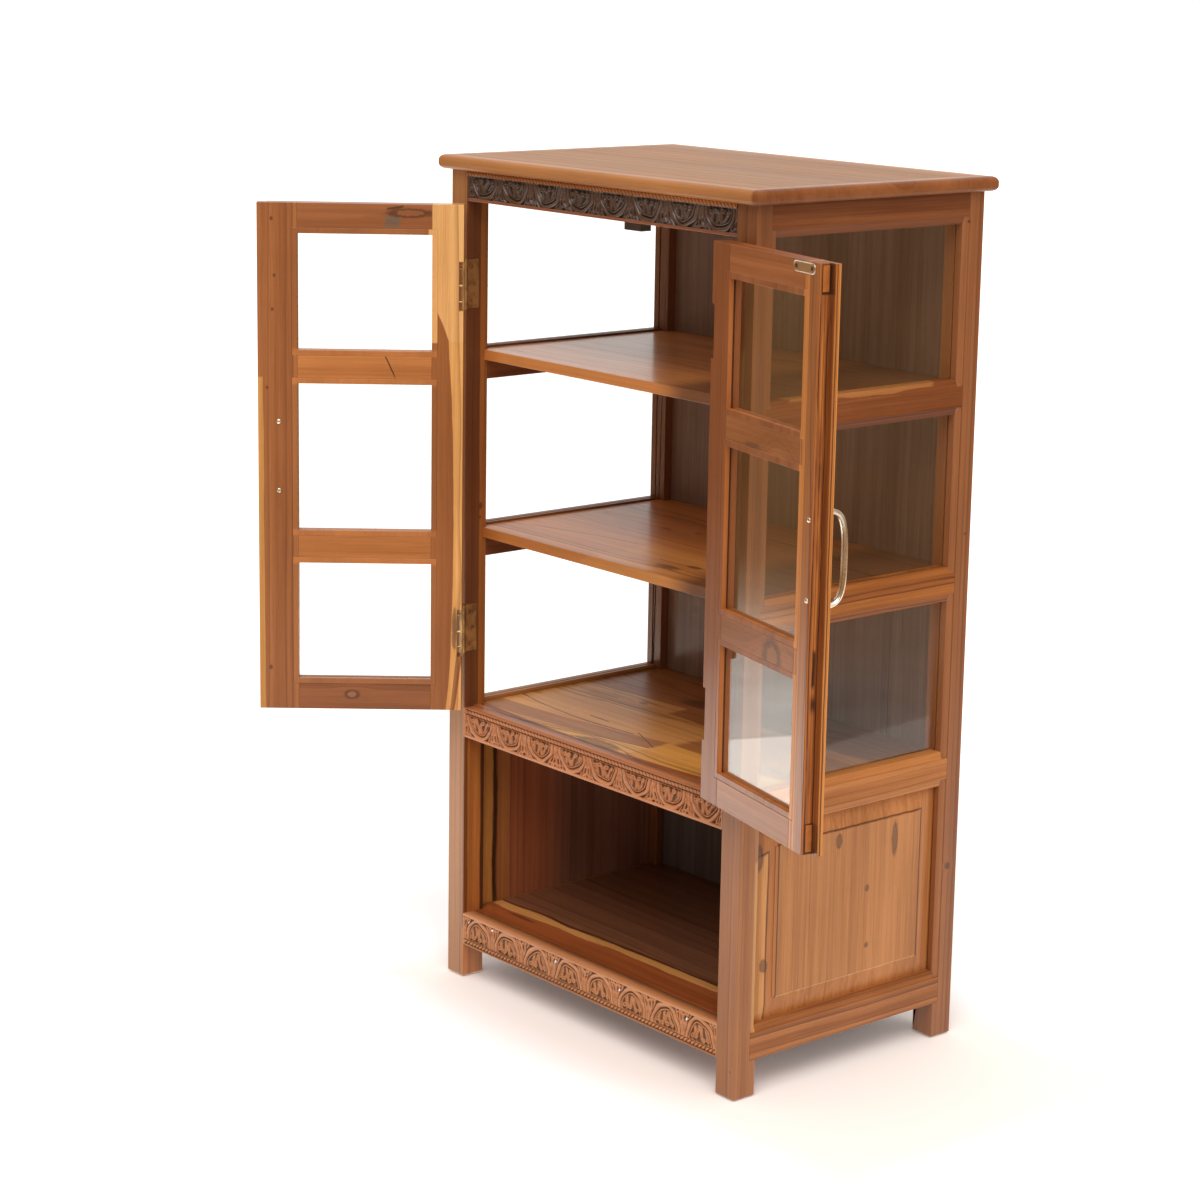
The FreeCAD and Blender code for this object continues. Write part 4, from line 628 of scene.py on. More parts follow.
boards = {
    "front_left_post": woodSpec(
        (166, 112, 66), coat=0.1, ring=0.012, waver=0.008, pith=(0.02, 0.05), axes="zyx",
        specks=[(115, 8.5, 2.6, 1.5), (98, 7.5, 1.8, 1.0)], zones=[
            zone((118, 70, 40), along=(-184, 700), across=(-40, 6), through=(16, 40), uneven=4, soft=1),
            zone((166, 102, 50), along=(-184, 560), across=(6, 40), through=(16, 40), uneven=4, soft=1),
            zone((196, 122, 62), along=(-600, -184), through=(16, 40), uneven=4, soft=1),
            zone((132, 78, 40), along=(-520, -228), across=(-40, -12), through=(16, 40), uneven=6, soft=1.5),
            zone((96, 56, 34), along=(-520, -228), across=(12, 40), through=(16, 40), uneven=6, soft=1.5),
        ],
    ),
    "front_right_post": woodSpec(
        (162, 104, 62), ring=0.011, waver=0.008, pith=(-0.03, 0.05), axes="zxy",
        specks=[(-560, 10, 1.2, 1.0)], zones=[
            zone((136, 84, 48), along=(-170, 700), uneven=20, soft=8),
            zone(
                yellowWood, along=(-510, -270), across=(10, 40), through=(11, 40), uneven=9, soft=1,
                amount=0.8,
            ),
        ],
    ),
    "back_left_post": woodSpec((120, 72, 42), ring=0.012, waver=0.008, axes="zxy"),
    "back_right_post": woodSpec(
        (156, 98, 58), ring=0.01, waver=0.01, axes="zyx", knots=[(-347, 1, 3.6, 1.2)],
        specks=[(560, -9, 1.5, 1), (130, 8, 1.5, 1)],
    ),
    "top_panel": woodSpec(
        (170, 120, 72), ring=0.03, waver=0.03, lines=0.16, fibres=0.25, bands=0.25, axes="xyz", coat=0.0,
        shine=0.06,
    ),
    "top_edging": woodSpec(
        (186, 128, 78), ring=0.016, waver=0.006, lines=0.3, fibres=0.4, coat=0.1, shine=0.2, zones=[
            zone((146, 88, 48), along=(322, 400), uneven=3, soft=1),
        ],
    ),
    "back_rails": woodSpec((120, 76, 48)),
    "back_boards": woodSpec((68, 56, 52), lines=0.2, fibres=0.6, waver=0.04, axes="zxy", shine=0.2, zones=[
        zone((220, 144, 84), pieceX=(30, 400), uneven=6, soft=1.0),
        zone((130, 101, 84), pieceX=(-60, 60), uneven=6, soft=1.0),
        zone((98, 84, 78), through=(-10, 2), pieceZ=(0, 380), soft=1),
    ]),
    "upper_shelf": woodSpec(
        (212, 138, 76), ring=0.022, waver=0.07, pith=(0.03, 0.03), planks=[-60, 40], plankSpan=380,
        axes="xyz", coat=0.55, lines=0.4, specks=[(-236, -151, 2.4, 1.0), (-272, 39, 2.4, 1.0)], zones=[
            zone(
                (232, 176, 122), along=(-282, -60), across=(62, 65), tilt=0.252, bend=1.346, uneven=2,
                soft=0.6,
            ),
            # painted shade: the shelf's right end, in shadow inside the cabinet, is darker
            zone((122, 76, 46), along=(120, 400), uneven=10, soft=12),
        ],
    ),
    "lower_shelf": woodSpec(
        (196, 124, 62), ring=0.02, waver=0.09, pith=(0.03, 0.03), planks=[-30, 70], plankSpan=380,
        axes="xyz", coat=0.22, lines=0.9,
        knots=[(78, -138, 6, 3.0), (104, -112, 5, 2.2), (-120, 30, 3, 2.4)], zones=[
            zone((206, 140, 72), along=(-40, 320), across=(-190, -60), uneven=30, soft=3, amount=0.7),
            zone((104, 62, 36), along=(-317, -60), across=(-74, -71.8), tilt=0.018, bend=0.704, uneven=3),
            zone((112, 66, 36), along=(30, 130), across=(-111, -108.6), tilt=0.193, bend=-1.665, uneven=10),
            # painted shade: the shelf's right end, in shadow inside the cabinet, is darker
            zone((116, 72, 44), along=(150, 400), uneven=10, soft=12),
        ],
    ),
    "middle_board": woodSpec(
        (160, 102, 56), ring=0.017, waver=0.12, pith=(-0.02, 0.03), planks=[-60, 40], plankSpan=380,
        axes="xyz", coat=0.0, coatRough=0.2, shine=0.16, lines=0.9,
        knots=[(-20, -171, 12, 2.8), (-145, 21, 3.5, 2.0), (-283, 55, 2, 7)], knotColour=(136, 88, 48),
        plankContrast=0.2, zones=[
            zone((204, 146, 84), along=(-320, 60), across=(-184, 12), uneven=14, soft=3),
            zone(
                (168, 112, 66), along=(-300, 42), across=(-138, -98), tilt=-0.19, bend=-0.3, uneven=5,
                soft=1,
            ),
            zone((226, 170, 96), along=(-166, 330), across=(-180, -140), tilt=-0.19, uneven=4, soft=0.8),
            zone((218, 156, 78), along=(43, 330), across=(-176, -92), uneven=12, soft=1.5),
            zone((206, 148, 88), along=(-345, -80), across=(12, 62), tilt=-0.1, uneven=10, soft=2),
            # painted shadow over the back right part of the board
            zone((118, 72, 44), along=(-120, 320), across=(70, 190), uneven=24, soft=5),
            zone((150, 84, 46), across=(-190, -177), tilt=-0.018, bend=-0.22, uneven=3, soft=0.8),
            zone((92, 54, 32), along=(-304, -26), across=(-96.6, -94), tilt=-0.184, bend=-0.71, uneven=5),
            zone((104, 62, 36), along=(-169, 43), across=(-138.8, -137), tilt=-0.196, bend=0.147, uneven=4),
            zone((100, 58, 36), along=(-26, 43), across=(-103.5, -101.5), tilt=0.482, uneven=8),
            zone((84, 50, 32), along=(-345, 30), across=(8.4, 10.2), tilt=-0.121, bend=-0.176, uneven=2),
            zone((104, 64, 40), along=(-310, -190), across=(13.9, 15.6), tilt=-0.026, uneven=3),
            zone((96, 58, 38), along=(-310, -60), across=(99.7, 101.4), tilt=-0.08, bend=0.092, uneven=2),
            zone((44, 30, 24), along=(-140, -97), across=(-86.8, -84.6), uneven=3),
        ],
    ),
    "bottom_board": woodSpec(
        (156, 84, 44), ring=0.012, waver=0.05, planks=[-120, 20], plankSpan=380, axes="xyz", coat=0.35,
        lines=0.8, fibres=0.9, specks=[(-215, -150, 2.5, 9)], zones=[
            zone((206, 146, 84), across=(-132, -114), tilt=-0.03, uneven=26, soft=2),
            zone((134, 90, 66), across=(-112, 190), tilt=-0.03, uneven=22, soft=2.5),
            zone((84, 46, 26), across=(-116, -110), tilt=-0.03, uneven=18, soft=2),
        ],
    ),
    "shelf_cleats": woodSpec((124, 74, 42)),
    "left_side_panel": woodSpec((168, 98, 64), ring=0.012, waver=0.01, axes="zyx", bands=0.3, zones=[
        zone((206, 140, 72), across=(-190, -140), uneven=12, soft=2.5),
        zone((70, 44, 28), across=(-141, -133), uneven=16, soft=2.5),
        zone((186, 122, 66), across=(-131, -110), uneven=14, soft=4, amount=0.7),
        zone((146, 100, 80), across=(-20, 190), uneven=20, soft=40),
    ]),
    "right_side_panel": woodSpec(
        (180, 116, 64), ring=0.014, waver=0.012, lines=0.3, fibres=0.8, axes="zyx", coat=0.15, rough=0.42,
        knots=[
            (91, -18, 4.5, 1.8), (75, 90, 4.6, 4.2), (13, 39, 3, 1.3), (-70, 41, 3, 1.0),
            (93, -163, 6, 2.6), (-60, -150, 5, 1.5),
        ],
        knotColour=(104, 72, 54), zones=[
            # painted shade in the crease round the raised field
            zone((96, 60, 36), along=(-108.6, 108.6), across=(-131, 144), uneven=1, soft=0.3),
            # painted highlight along the bottom edge of the field
            zone((216, 160, 104), along=(-108.6, -104), across=(-128, 141), uneven=1),
            zone((178, 118, 68), along=(-106.4, 106.4), across=(-128.8, 141.8), uneven=1, soft=0.3),
            zone((118, 76, 46), along=(-200, 100), across=(-200, -145.5), uneven=5),
            zone((210, 150, 92), along=(-200, 96), across=(-200, -147.5), uneven=5, soft=0.6),
        ],
    ),
    "top_dowels": woodSpec((170, 110, 66)),
    "left_top_rail": railSpec((120, 72, 44)),
    "left_upper_rail": railSpec((122, 74, 44)),
    "left_lower_rail": railSpec((140, 86, 50)),
    "left_panel_rail": railSpec((176, 122, 74)),
    "left_bottom_rail": railSpec((140, 92, 58)),
    "right_top_rail": railSpec((126, 72, 39), lines=0.4, ring=0.01, coat=0.08, fibres=0.8),
    "right_upper_rail": railSpec((132, 74, 36), lines=0.6, axes="yzx", coat=0.08, fibres=0.8, zones=[
        zone((176, 116, 64), along=(-140, 130), across=(20, 34), uneven=20, soft=0.6, amount=0.75),
    ]),
    "right_lower_rail": railSpec(
        (164, 98, 46), lines=0.8, ring=0.01, waver=0.03, axes="yzx", coat=0.08, fibres=0.9,
    ),
    "right_panel_rail": railSpec((188, 122, 68), lines=0.5, axes="yzx", coat=0.08, fibres=0.8),
    "right_bottom_rail": railSpec((162, 102, 58), lines=0.7, axes="yzx", coat=0.15, fibres=0.9),
    "left_door_hinge_stile": woodSpec(
        (157, 94, 45), ring=0.013, waver=0.03, lines=0.5, axes="zxy", knots=[(-245, -12, 3, 8)], zones=[
            zone((240, 174, 108), along=(168, 400), across=(-200, -71), tilt=-0.4, uneven=6, soft=0.7),
            zone(
                (236, 168, 96), along=(-400, 175), across=(-200, -9.2), tilt=-0.024, bend=-0.13,
                uneven=6, soft=0.7,
            ),
            zone((168, 104, 50), along=(-400, -200), across=(-52, -46.5), tilt=0.11, uneven=6, soft=0.7),
            zone((150, 88, 42), along=(-400, -240), across=(-64, -60.5), tilt=0.14, uneven=6, soft=0.7),
        ],
    ),
    "left_door_meeting_stile": woodSpec(
        (162, 100, 54), ring=0.012, waver=0.012, axes="zxy",
        specks=[
            (344, 7.6, 1.8, 1.2), (264, 4, 1.6, 1.2), (216, 7, 1.6, 1.2), (104, 15, 1.6, 1.2),
            (-305, 12, 2.0, 1.4),
        ],
        zones=[
            zone(yellowWood, along=(-380, 120), across=(21, 60), tilt=-0.004, uneven=4, soft=0.6),
        ],
    ),
    "left_door_top_rail": woodSpec(
        (154, 94, 54), ring=0.01, waver=0.03, axes="xzy", knots=[(-80, 9, 5.4, 4.6)], lines=0.6,
        knotColour=(146, 88, 50), zones=[
            zone((124, 98, 80), along=(-70, -47), across=(-12, 4), uneven=9, soft=1.2),
            zone((92, 56, 36), along=(-72, -48), across=(6.5, 9.5), tilt=0.14, uneven=6, soft=0.8),
        ],
    ),
    "left_door_middle_rails": woodSpec((188, 118, 60), ring=0.016, lines=0.15, axes="xzy", zones=[
        zone(
            (84, 50, 30), along=(-44, -26), across=(78, 82.4), pieceZ=(850, 1000), tilt=-2.17, uneven=5,
            soft=0.7,
        ),
    ]),
    "left_door_bottom_rail": woodSpec(
        (148, 88, 48), ring=0.01, waver=0.02, axes="xzy", knots=[(1, -1, 5.5, 1.6)],
        knotColour=(160, 108, 66),
    ),
    "left_door_beads": woodSpec((176, 108, 56), ring=0.05, lines=0.1, fibres=0.2, axes="zxy", zones=[
        zone((160, 100, 54), through=(3.6, 20), soft=0.2),
        zone(paleBead, along=(-300, -81), pieceZ=(980, 1200), soft=1),
        zone(paleBead, along=(105, 300), pieceZ=(700, 900), soft=1),
        zone(paleBead, along=(-300, -105), pieceZ=(700, 900), soft=1),
        zone(paleBead, along=(84, 300), pieceZ=(400, 600), soft=1),
        zone((240, 174, 108), along=(-70, 200), across=(-110, -90), pieceZ=(980, 1200)),
    ]),
    "right_door_hinge_stile": woodSpec(
        (139, 79, 39), coat=0.12, ring=0.02, waver=0.015, lines=0.2, axes="zxy",
    ),
    "right_door_meeting_stile": woodSpec(
        (150, 86, 40), coat=0.25, ring=0.0045, waver=0.014, lines=1.5, bands=1.1, fibres=0.9,
        pith=(-0.01, 0.075), axes="zxy", zones=[
            zone((160, 98, 50), across=(-15, 30), uneven=3, soft=0.6),
            zone((206, 132, 64), across=(10, 30), uneven=1),
            zone((84, 48, 26), across=(-16.5, -14.5), uneven=2, soft=0.4),
            zone((160, 94, 46), across=endFace, through=(-4.6, 20), soft=0.4),
            zone((200, 122, 56), across=endFace, through=(0.4, 5.4), uneven=5),
            zone((84, 44, 24), across=endFace, through=(7.4, 9), uneven=5, soft=0.4),
            zone((92, 50, 26), across=endFace, through=(-3.6, -1.8), uneven=5, soft=0.4),
            zone((196, 124, 56), across=(-40, -21.5), through=(-14, -4.2), soft=0.6),
            zone((104, 60, 30), across=(-40, -21.5), through=(-8.2, -6.6), uneven=4),
            zone((50, 30, 20), along=(329.4, 365.4), across=endFace, through=(-4.4, 7.6), uneven=2),
            zone((184, 110, 50), across=endFace, through=(9.6, 11), uneven=3),
            zone((96, 52, 26), along=(60, 150), across=endFace, through=(2.4, 4.4), uneven=7, soft=1.2),
            zone((70, 38, 20), along=(94, 128), across=endFace, through=(1, 6), uneven=9, soft=2.0),
            zone((74, 42, 22), along=(-158, -109), across=endFace, through=(-1, 3.5), uneven=9, soft=1.6),
            zone((70, 38, 20), along=(-186, -170), across=endFace, through=(-3, 5), uneven=9, soft=2.4),
            zone((50, 30, 20), along=(-365.4, -326.4), across=endFace, through=(-4.4, 7.6), uneven=2),
        ],
    ),
    "right_door_top_rail": woodSpec((160, 94, 50), coat=0.2, lines=0.2, axes="xzy", zones=[
        zone((184, 108, 46), along=(-200, -113.5), uneven=6, soft=1),
    ]),
    "right_door_middle_rails": woodSpec(
        (152, 92, 48), coat=0.2, lines=0.3, axes="xzy", knots=[(-40, -9, 19, 0.95)], knotsAt=686,
        knotColour=(146, 88, 46), zones=[
            zone(
                (110, 68, 40), along=(6, 46), across=(-14, -8), pieceZ=(800, 1000), uneven=18, soft=2.4,
                amount=0.8,
            ),
        ],
    ),
    "right_door_bottom_rail": woodSpec((160, 100, 58), coat=0.2, lines=0.2, axes="xzy", zones=[
        zone((184, 108, 46), along=(-200, -113.5), uneven=6, soft=1),
    ]),
    "right_door_beads": woodSpec((190, 112, 50), lines=0.3, fibres=0.4, axes="zxy", coat=0.2, zones=[
        zone((150, 88, 46), through=(3.6, 20), soft=0.2),
        zone((200, 126, 60), across=(-110, -94), through=(3.6, 20), soft=0.2),
        zone((76, 42, 22), across=(90, 110), through=(-20, -2.6), soft=0.3),
    ]),
}

for node, spec in boards.items():
    dressNode(node, makeWood("wood_" + node, spec), spec["axes"])
print("stage: boards dressed,", len(boards), "nodes")


# Glass
glassLook = {
    "tint": (0.965, 0.985, 0.97), "dust": 0.985, "dustSize": 5.0, "dustSpan": (0.45, 0.8), "ior": 1.45,
    "shadowTint": (0.95, 0.965, 0.955),
}


def makeGlass(look):
    # clear glass, plainly transparent to shadows and to the light that matt surfaces gather
    material, tree, shader = newMaterial("window_glass")
    dusty = smoothStep(tree, wearOf(tree, look["dustSize"])["Wear"], *look["dustSpan"])
    dustyTint = tuple(part * look["dust"] for part in look["tint"])
    tint = mixColour(tree, dusty, look["tint"] + (1,), dustyTint + (1,))
    feed(tree, shader, Base_Color=tint, Roughness=0.0, Transmission_Weight=1.0, IOR=look["ior"])
    clear = addNode(tree, "BsdfTransparent", Color=look["shadowTint"] + (1,))
    path = addNode(tree, "LightPath").outputs
    unseen = calc(tree, "MAXIMUM", path["Is Shadow Ray"], path["Is Diffuse Ray"])
    mixed = addNode(tree, "MixShader", i0=unseen, i1=shader.outputs[0], i2=clear.outputs[0])
    feed(tree, tree.nodes["Material Output"], Surface=mixed.outputs[0])
    return material


def setMaterial(node, material):
    nodes[node].data.materials.clear()
    nodes[node].data.materials.append(material)


windowGlass = makeGlass(glassLook)
for node in ("side_glass", "left_door_glass", "right_door_glass"):
    setMaterial(node, windowGlass)
print("stage: glass set")


# Metal
metals = {
    "aged_brass": {"bright": (0.78, 0.52, 0.24), "dull": (0.42, 0.27, 0.13), "rough": 0.46},
    "screw_brass": {"bright": (0.86, 0.6, 0.3), "dull": (0.6, 0.4, 0.2), "rough": 0.26},
    "bright_steel": {"bright": (0.88, 0.84, 0.74), "dull": (0.7, 0.63, 0.5), "rough": 0.24},
    "strike_metal": {
        "bright": (0.7, 0.64, 0.54), "dull": (0.5, 0.43, 0.34), "rough": 0.34, "worn": (0.66, 0.5, 0.34),
    },
    "dark_metal": {"bright": (0.2, 0.13, 0.09), "dull": (0.1, 0.07, 0.05), "rough": 0.45},
    "catch_case": {
        "bright": (0.085, 0.05, 0.032), "dull": (0.05, 0.032, 0.024), "rough": 0.4, "metallic": 0.0,
    },
}
metalFinish = {
    "wearSize": 60.0, "tarnish": (0.35, 0.7), "fineRough": 0.18, "roughLess": 0.06,
    "bump": 0.08, "bumpDepth": 0.0002,
}


def makeMetal(name, bright, dull, rough, metallic=1.0, worn=None):
    # tarnish lies where the cloud noise passes a level; worn is the tone that shows where "rim" is 0
    material, tree, shader = newMaterial(name)
    look = metalFinish
    wear = wearOf(tree, look["wearSize"])
    colour = mixColour(tree, smoothStep(tree, wear["Wear"], *look["tarnish"]), bright + (1,), dull + (1,))
    if worn:
        colour = mixColour(tree, attribute(tree, "rim"), worn + (1,), colour)
    roughness = scaled(tree, wear["Fine"], look["fineRough"], rough - look["roughLess"])
    bump = addNode(tree, "Bump", Strength=look["bump"], Distance=look["bumpDepth"], Height=wear["Fine"])
    feed(tree, shader, Base_Color=colour, Roughness=roughness, Metallic=metallic, Normal=bump.outputs[0])
    return material


madeMetals = {name: makeMetal(name, **look) for name, look in metals.items()}
for node, slot in slotOf.items():
    name = "screw_brass" if "hinge_screws" in node else "dark_metal" if node == "strike_screws" else slot
    if name in madeMetals:
        setMaterial(node, madeMetals[name])
print("stage: metal set")


# Carving
carving = {
    "step": 0.7, "repeats": 8, "half": 282.0, "front": -208.0, "back": -184.0, "depth": 3.8,
    "rope": 8.0, "ropePitch": 7.4, "ropeShare": 0.86, "ropeLow": 0.05, "groove": 0.8, "grooveHeight": 0.95,
    "border": 4.2, "lip": 1.4, "warp": 1.3, "margin": 1.5, "gap": 0.01, "tool": 0.03,
}
# carved in each look is the level of painted shade in the carving's hollows
friezes = {
    "top_frieze": {
        "low": 1157.0, "high": 1193.0, "solidHigh": 1200.0, "rope": False, "turned": False,
        "look": woodSpec(
            (80, 57, 46), carved=0.33, coat=0.65, coatRough=0.2, lines=0.2, axes="xzy", rough=0.3,
            zones=[zone((132, 76, 50), across=(-40, -17.6), soft=0.4)],
        ),
    },
    "middle_frieze": {
        "low": 372.0, "high": 416.0, "solidHigh": 416.0, "rope": True, "turned": False,
        "look": woodSpec(
            (178, 114, 72), carved=0.32, coat=0.15, coatRough=0.3, lines=0.15, axes="xzy", rough=0.4,
            specks=[(-225, 1, 3.2, 1.2)], knotColour=(78, 70, 66),
        ),
    },
    "bottom_frieze": {
        "low": 52.0, "high": 100.0, "solidHigh": 100.0, "rope": True, "turned": True,
        "look": woodSpec(
            (186, 126, 84), carved=0.34, coat=0.15, coatRough=0.3, lines=0.15, axes="xzy", rough=0.4,
            glints=[
                (-270, 13, 2.2), (-212, 16, 1.7), (-64, 11, 2.3),
                (5, 9.5, 2.0), (77, 10.5, 2.3), (220, 11.5, 2.2),
            ],
        ),
    },
}


def ridge(distance, width):
    # a rounded ridge: 1 less the square of the distance over the half width, never under 0
    return np.sqrt(np.clip(1 - (distance / width) ** 2, 0, 1))


def cordHeight(u, y, width, pitch):
    # a twisted cord: half-round across, times slanted waves along
    body = np.sqrt(np.clip(1 - (2 * y / width) ** 2, 0, 1))
    return body * (0.12 + 0.88 * np.abs(np.sin(math.pi * (u / pitch + y / width * 0.7))))


def tulipHeight(u, y, tall, pitch, phases, warp):
    # cups open at the top, each round a fan of S-shaped flame petals with veins and hooked tips, and crossed
    # leaves and buds on the stems between them; slow waves bend the pattern so that no two repeats are alike
    u = u + warp * (0.9 * np.sin(u / 8.7 + phases[0]) + 0.8 * np.sin(y / 4.1 + u / 15.0 + phases[1]))
    y = y + warp * 0.7 * np.sin(u / 4.6 + phases[2])
    cell = np.floor(u / pitch)
    x = (u / pitch - cell - 0.5) * pitch
    swing = np.sin(cell * 2.4 + phases[1])
    wide, high = pitch * 0.39, tall * 0.97
    ring = np.sqrt((x / wide) ** 2 + ((y - tall) / high) ** 2)
    height = ridge((ring - 1) * wide * 0.75, 2.3)
    height = np.maximum(height, 0.8 * ridge((ring - 0.8) * wide * 0.75, 0.9))
    t = np.clip(y / tall, 0, 1)
    inside = ring < 0.74
    for number in (-1.5, -0.5, 0.5, 1.5):
        lean = number * wide * 0.36 * (0.4 + 0.6 * t ** 0.7) + swing * 2.0 * t
        curl = 2.0 * np.sin(t * 5.6 + number * 2.1 + swing)
        swell = 0.7 + 2.4 * np.sin(math.pi * np.clip((t - 0.1) / 0.9, 0, 1)) ** 0.8
        petal = ridge(x - lean - curl, swell) * (1 - 0.45 * ridge(x - lean - curl, 0.9))
        height = np.maximum(height, petal * (t > 0.12) * inside)
        hook = np.hypot(x - lean - np.sign(number) * 2.2, y - tall * (0.86 - 0.05 * abs(number)))
        height = np.maximum(height, ridge(hook - 2.4, 1.2) * inside)
    apart = pitch / 2 - np.abs(x)
    outside = ring > 1.14
    stem = ridge(apart, 1.2 + 2.2 * t) * (t > 0.3) * (1 - 0.4 * ridge(apart, 0.8))
    height = np.maximum(height, stem * outside)
    height = np.maximum(height, ridge(apart - 13 * np.abs(t - 0.32), 1.5) * outside)
    for start, reach, rise in ((3.2, 6.0, 1.4), (7.4, 9.0, 2.2)):
        leaf = ridge(apart - start - reach * (1 - t) ** rise * 0.9 - swing, 1.7) * outside
        height = np.maximum(height, leaf * 0.9)
    for along, up, radius in ((0.0, 0.14, 2.6), (5.6, 0.1, 2.2), (4.0, 0.5, 2.0), (10.5, 0.07, 2.0)):
        bud = ridge(np.hypot(apart - along, y - tall * up), radius)
        height = np.maximum(height, bud * outside)
    return height


def gridFaces(columns, rows):
    # the quads of a grid of points, and its border as one loop
    index = np.arange(columns * rows).reshape(columns, rows)
    quads = np.stack((index[:-1, :-1], index[1:, :-1], index[1:, 1:], index[:-1, 1:]), -1)
    loop = np.concatenate((index[:-1, 0], index[-1, :-1], index[:0:-1, -1], index[0, :0:-1]))
    return quads.reshape(-1, 4).tolist(), loop


def ringFaces(rings, around):
    # the quads between rings of points, each ring closed
    row, col = np.meshgrid(np.arange(rings - 1) * around, np.arange(around), indexing="ij")
    after = (col + 1) % around
    quads = np.stack((row + col, row + after, row + around + after, row + around + col), -1)
    return quads.reshape(-1, 4).tolist()


def reliefSolid(xs, zs, front, back):
    # a board whose front follows a height field: the front grid, its border carried back, one flat back
    x, z = np.meshgrid(xs, zs, indexing="ij")
    grid = np.stack((x, front, z), -1).reshape(-1, 3)
    quads, loop = gridFaces(len(xs), len(zs))
    rear = grid[loop].copy()
    rear[:, 1] = back
    number = np.arange(len(loop)) + len(grid)
    sides = np.stack((loop, number, np.roll(number, -1), np.roll(loop, -1)), -1).tolist()
    return np.concatenate((grid, rear)), quads + sides + [number[::-1].tolist()]


def meshObject(name, points, faces, smooth=True):
    mesh = bpy.data.meshes.new(name)
    mesh.from_pydata((points * mm).tolist(), [], faces)
    mesh.polygons.foreach_set("use_smooth", [smooth] * len(mesh.polygons))
    return addObject(name, mesh)


def placeCarving(node, solid, height, hidden, look):
    # the material's painted shade and highlight follow the carved height; points of the sides and back get
    # the hidden value
    points, faces = solid
    made = meshObject(node + "_carved", points, faces)
    giveGrain(made, bodyOf[node], look["axes"])
    rest = np.full(len(points) - height.size, hidden)
    storeValues(made.data, "carved", np.concatenate((height.ravel(), rest)))
    replaceNode(node, made, makeWood("wood_" + node, look))


def evenSteps(low, high, step):
    return np.linspace(low, high, int((high - low) / step) + 1)


def makeFrieze(node, look, frieze):
    half, low, high = look["half"], frieze["low"], frieze["high"]
    xs, zs = evenSteps(-half, half, look["step"]), evenSteps(low, high, look["step"])
    if frieze["solidHigh"] > high:
        zs = np.append(zs, (high + look["gap"], frieze["solidHigh"]))
    u, z = np.meshgrid(xs + half, zs, indexing="ij")
    up = high - z if frieze["turned"] else z - low
    tall = high - low
    pitch = 2 * half / look["repeats"]
    rope = look["rope"] if frieze["rope"] else 0
    groove = look["groove"] if frieze["rope"] else 0
    top = tall - rope - look["lip"]
    phases = rng.uniform(0, 2 * math.pi, 3)
    height = tulipHeight(u, up - look["border"], top - look["border"] - groove, pitch, phases, look["warp"])
    height = np.where((up < look["border"]) | (up > tall - look["lip"]), 1.0, height)
    if rope:
        cord = cordHeight(u, up - top - rope / 2, rope * look["ropeShare"], look["ropePitch"])
        cord = look["ropeLow"] + (1 - look["ropeLow"]) * cord
        height = np.where((up >= top) & (up <= tall - look["lip"]), cord, height)
        height = np.where((up < top) & (up > top - groove), look["grooveHeight"], height)
    ends = (u < look["margin"]) | (u > 2 * half - look["margin"])
    height = np.where(ends | (z > high), 1.0, height)
    wander = look["tool"] * np.sin(u * 2.1 + phases[0]) * np.sin(z * 1.7 + phases[1])
    height = np.clip(height + wander, 0, 1)
    solid = reliefSolid(xs, zs, look["front"] + look["depth"] * (1 - height), look["back"])
    placeCarving(node, solid, height, 1.0, frieze["look"])


for node, frieze in friezes.items():
    makeFrieze(node, carving, frieze)

beadStrip = {
    "half": 282.0, "low": 1193.0, "high": 1200.0, "front": -210.5, "back": -208.0, "depth": 2.3,
    "step": 0.6, "rows": 12, "pitch": 7.0, "share": 0.98, "lowest": 0.15,
    "look": woodSpec((184, 112, 58), carved=0.25, axes="xzy"),
}


def makeBeadStrip(look):
    low, high = look["low"], look["high"]
    xs, zs = evenSteps(-look["half"], look["half"], look["step"]), np.linspace(low, high, look["rows"])
    u, z = np.meshgrid(xs, zs, indexing="ij")
    cord = cordHeight(u, z - (low + high) / 2, (high - low) * look["share"], look["pitch"])
    height = look["lowest"] + (1 - look["lowest"]) * cord
    solid = reliefSolid(xs, zs, look["front"] + look["depth"] * (1 - height), look["back"])
    placeCarving("top_bead_strip", solid, height, 0.0, look["look"])


makeBeadStrip(beadStrip)
print("stage: carving made")


# Pulls and bolts
pull = {
    "s": 262.5, "middle": 793.0, "face": 5.0, "bowHalf": 58.6, "projection": 27.2,
    "halfWidth": 4.9, "halfThick": 3.5, "flare": 4.2, "footWidth": 1.0, "footReach": 12.0,
    "squareness": 0.6, "ridges": 6, "ridgeShare": 0.06, "rings": 110, "around": 48,
}


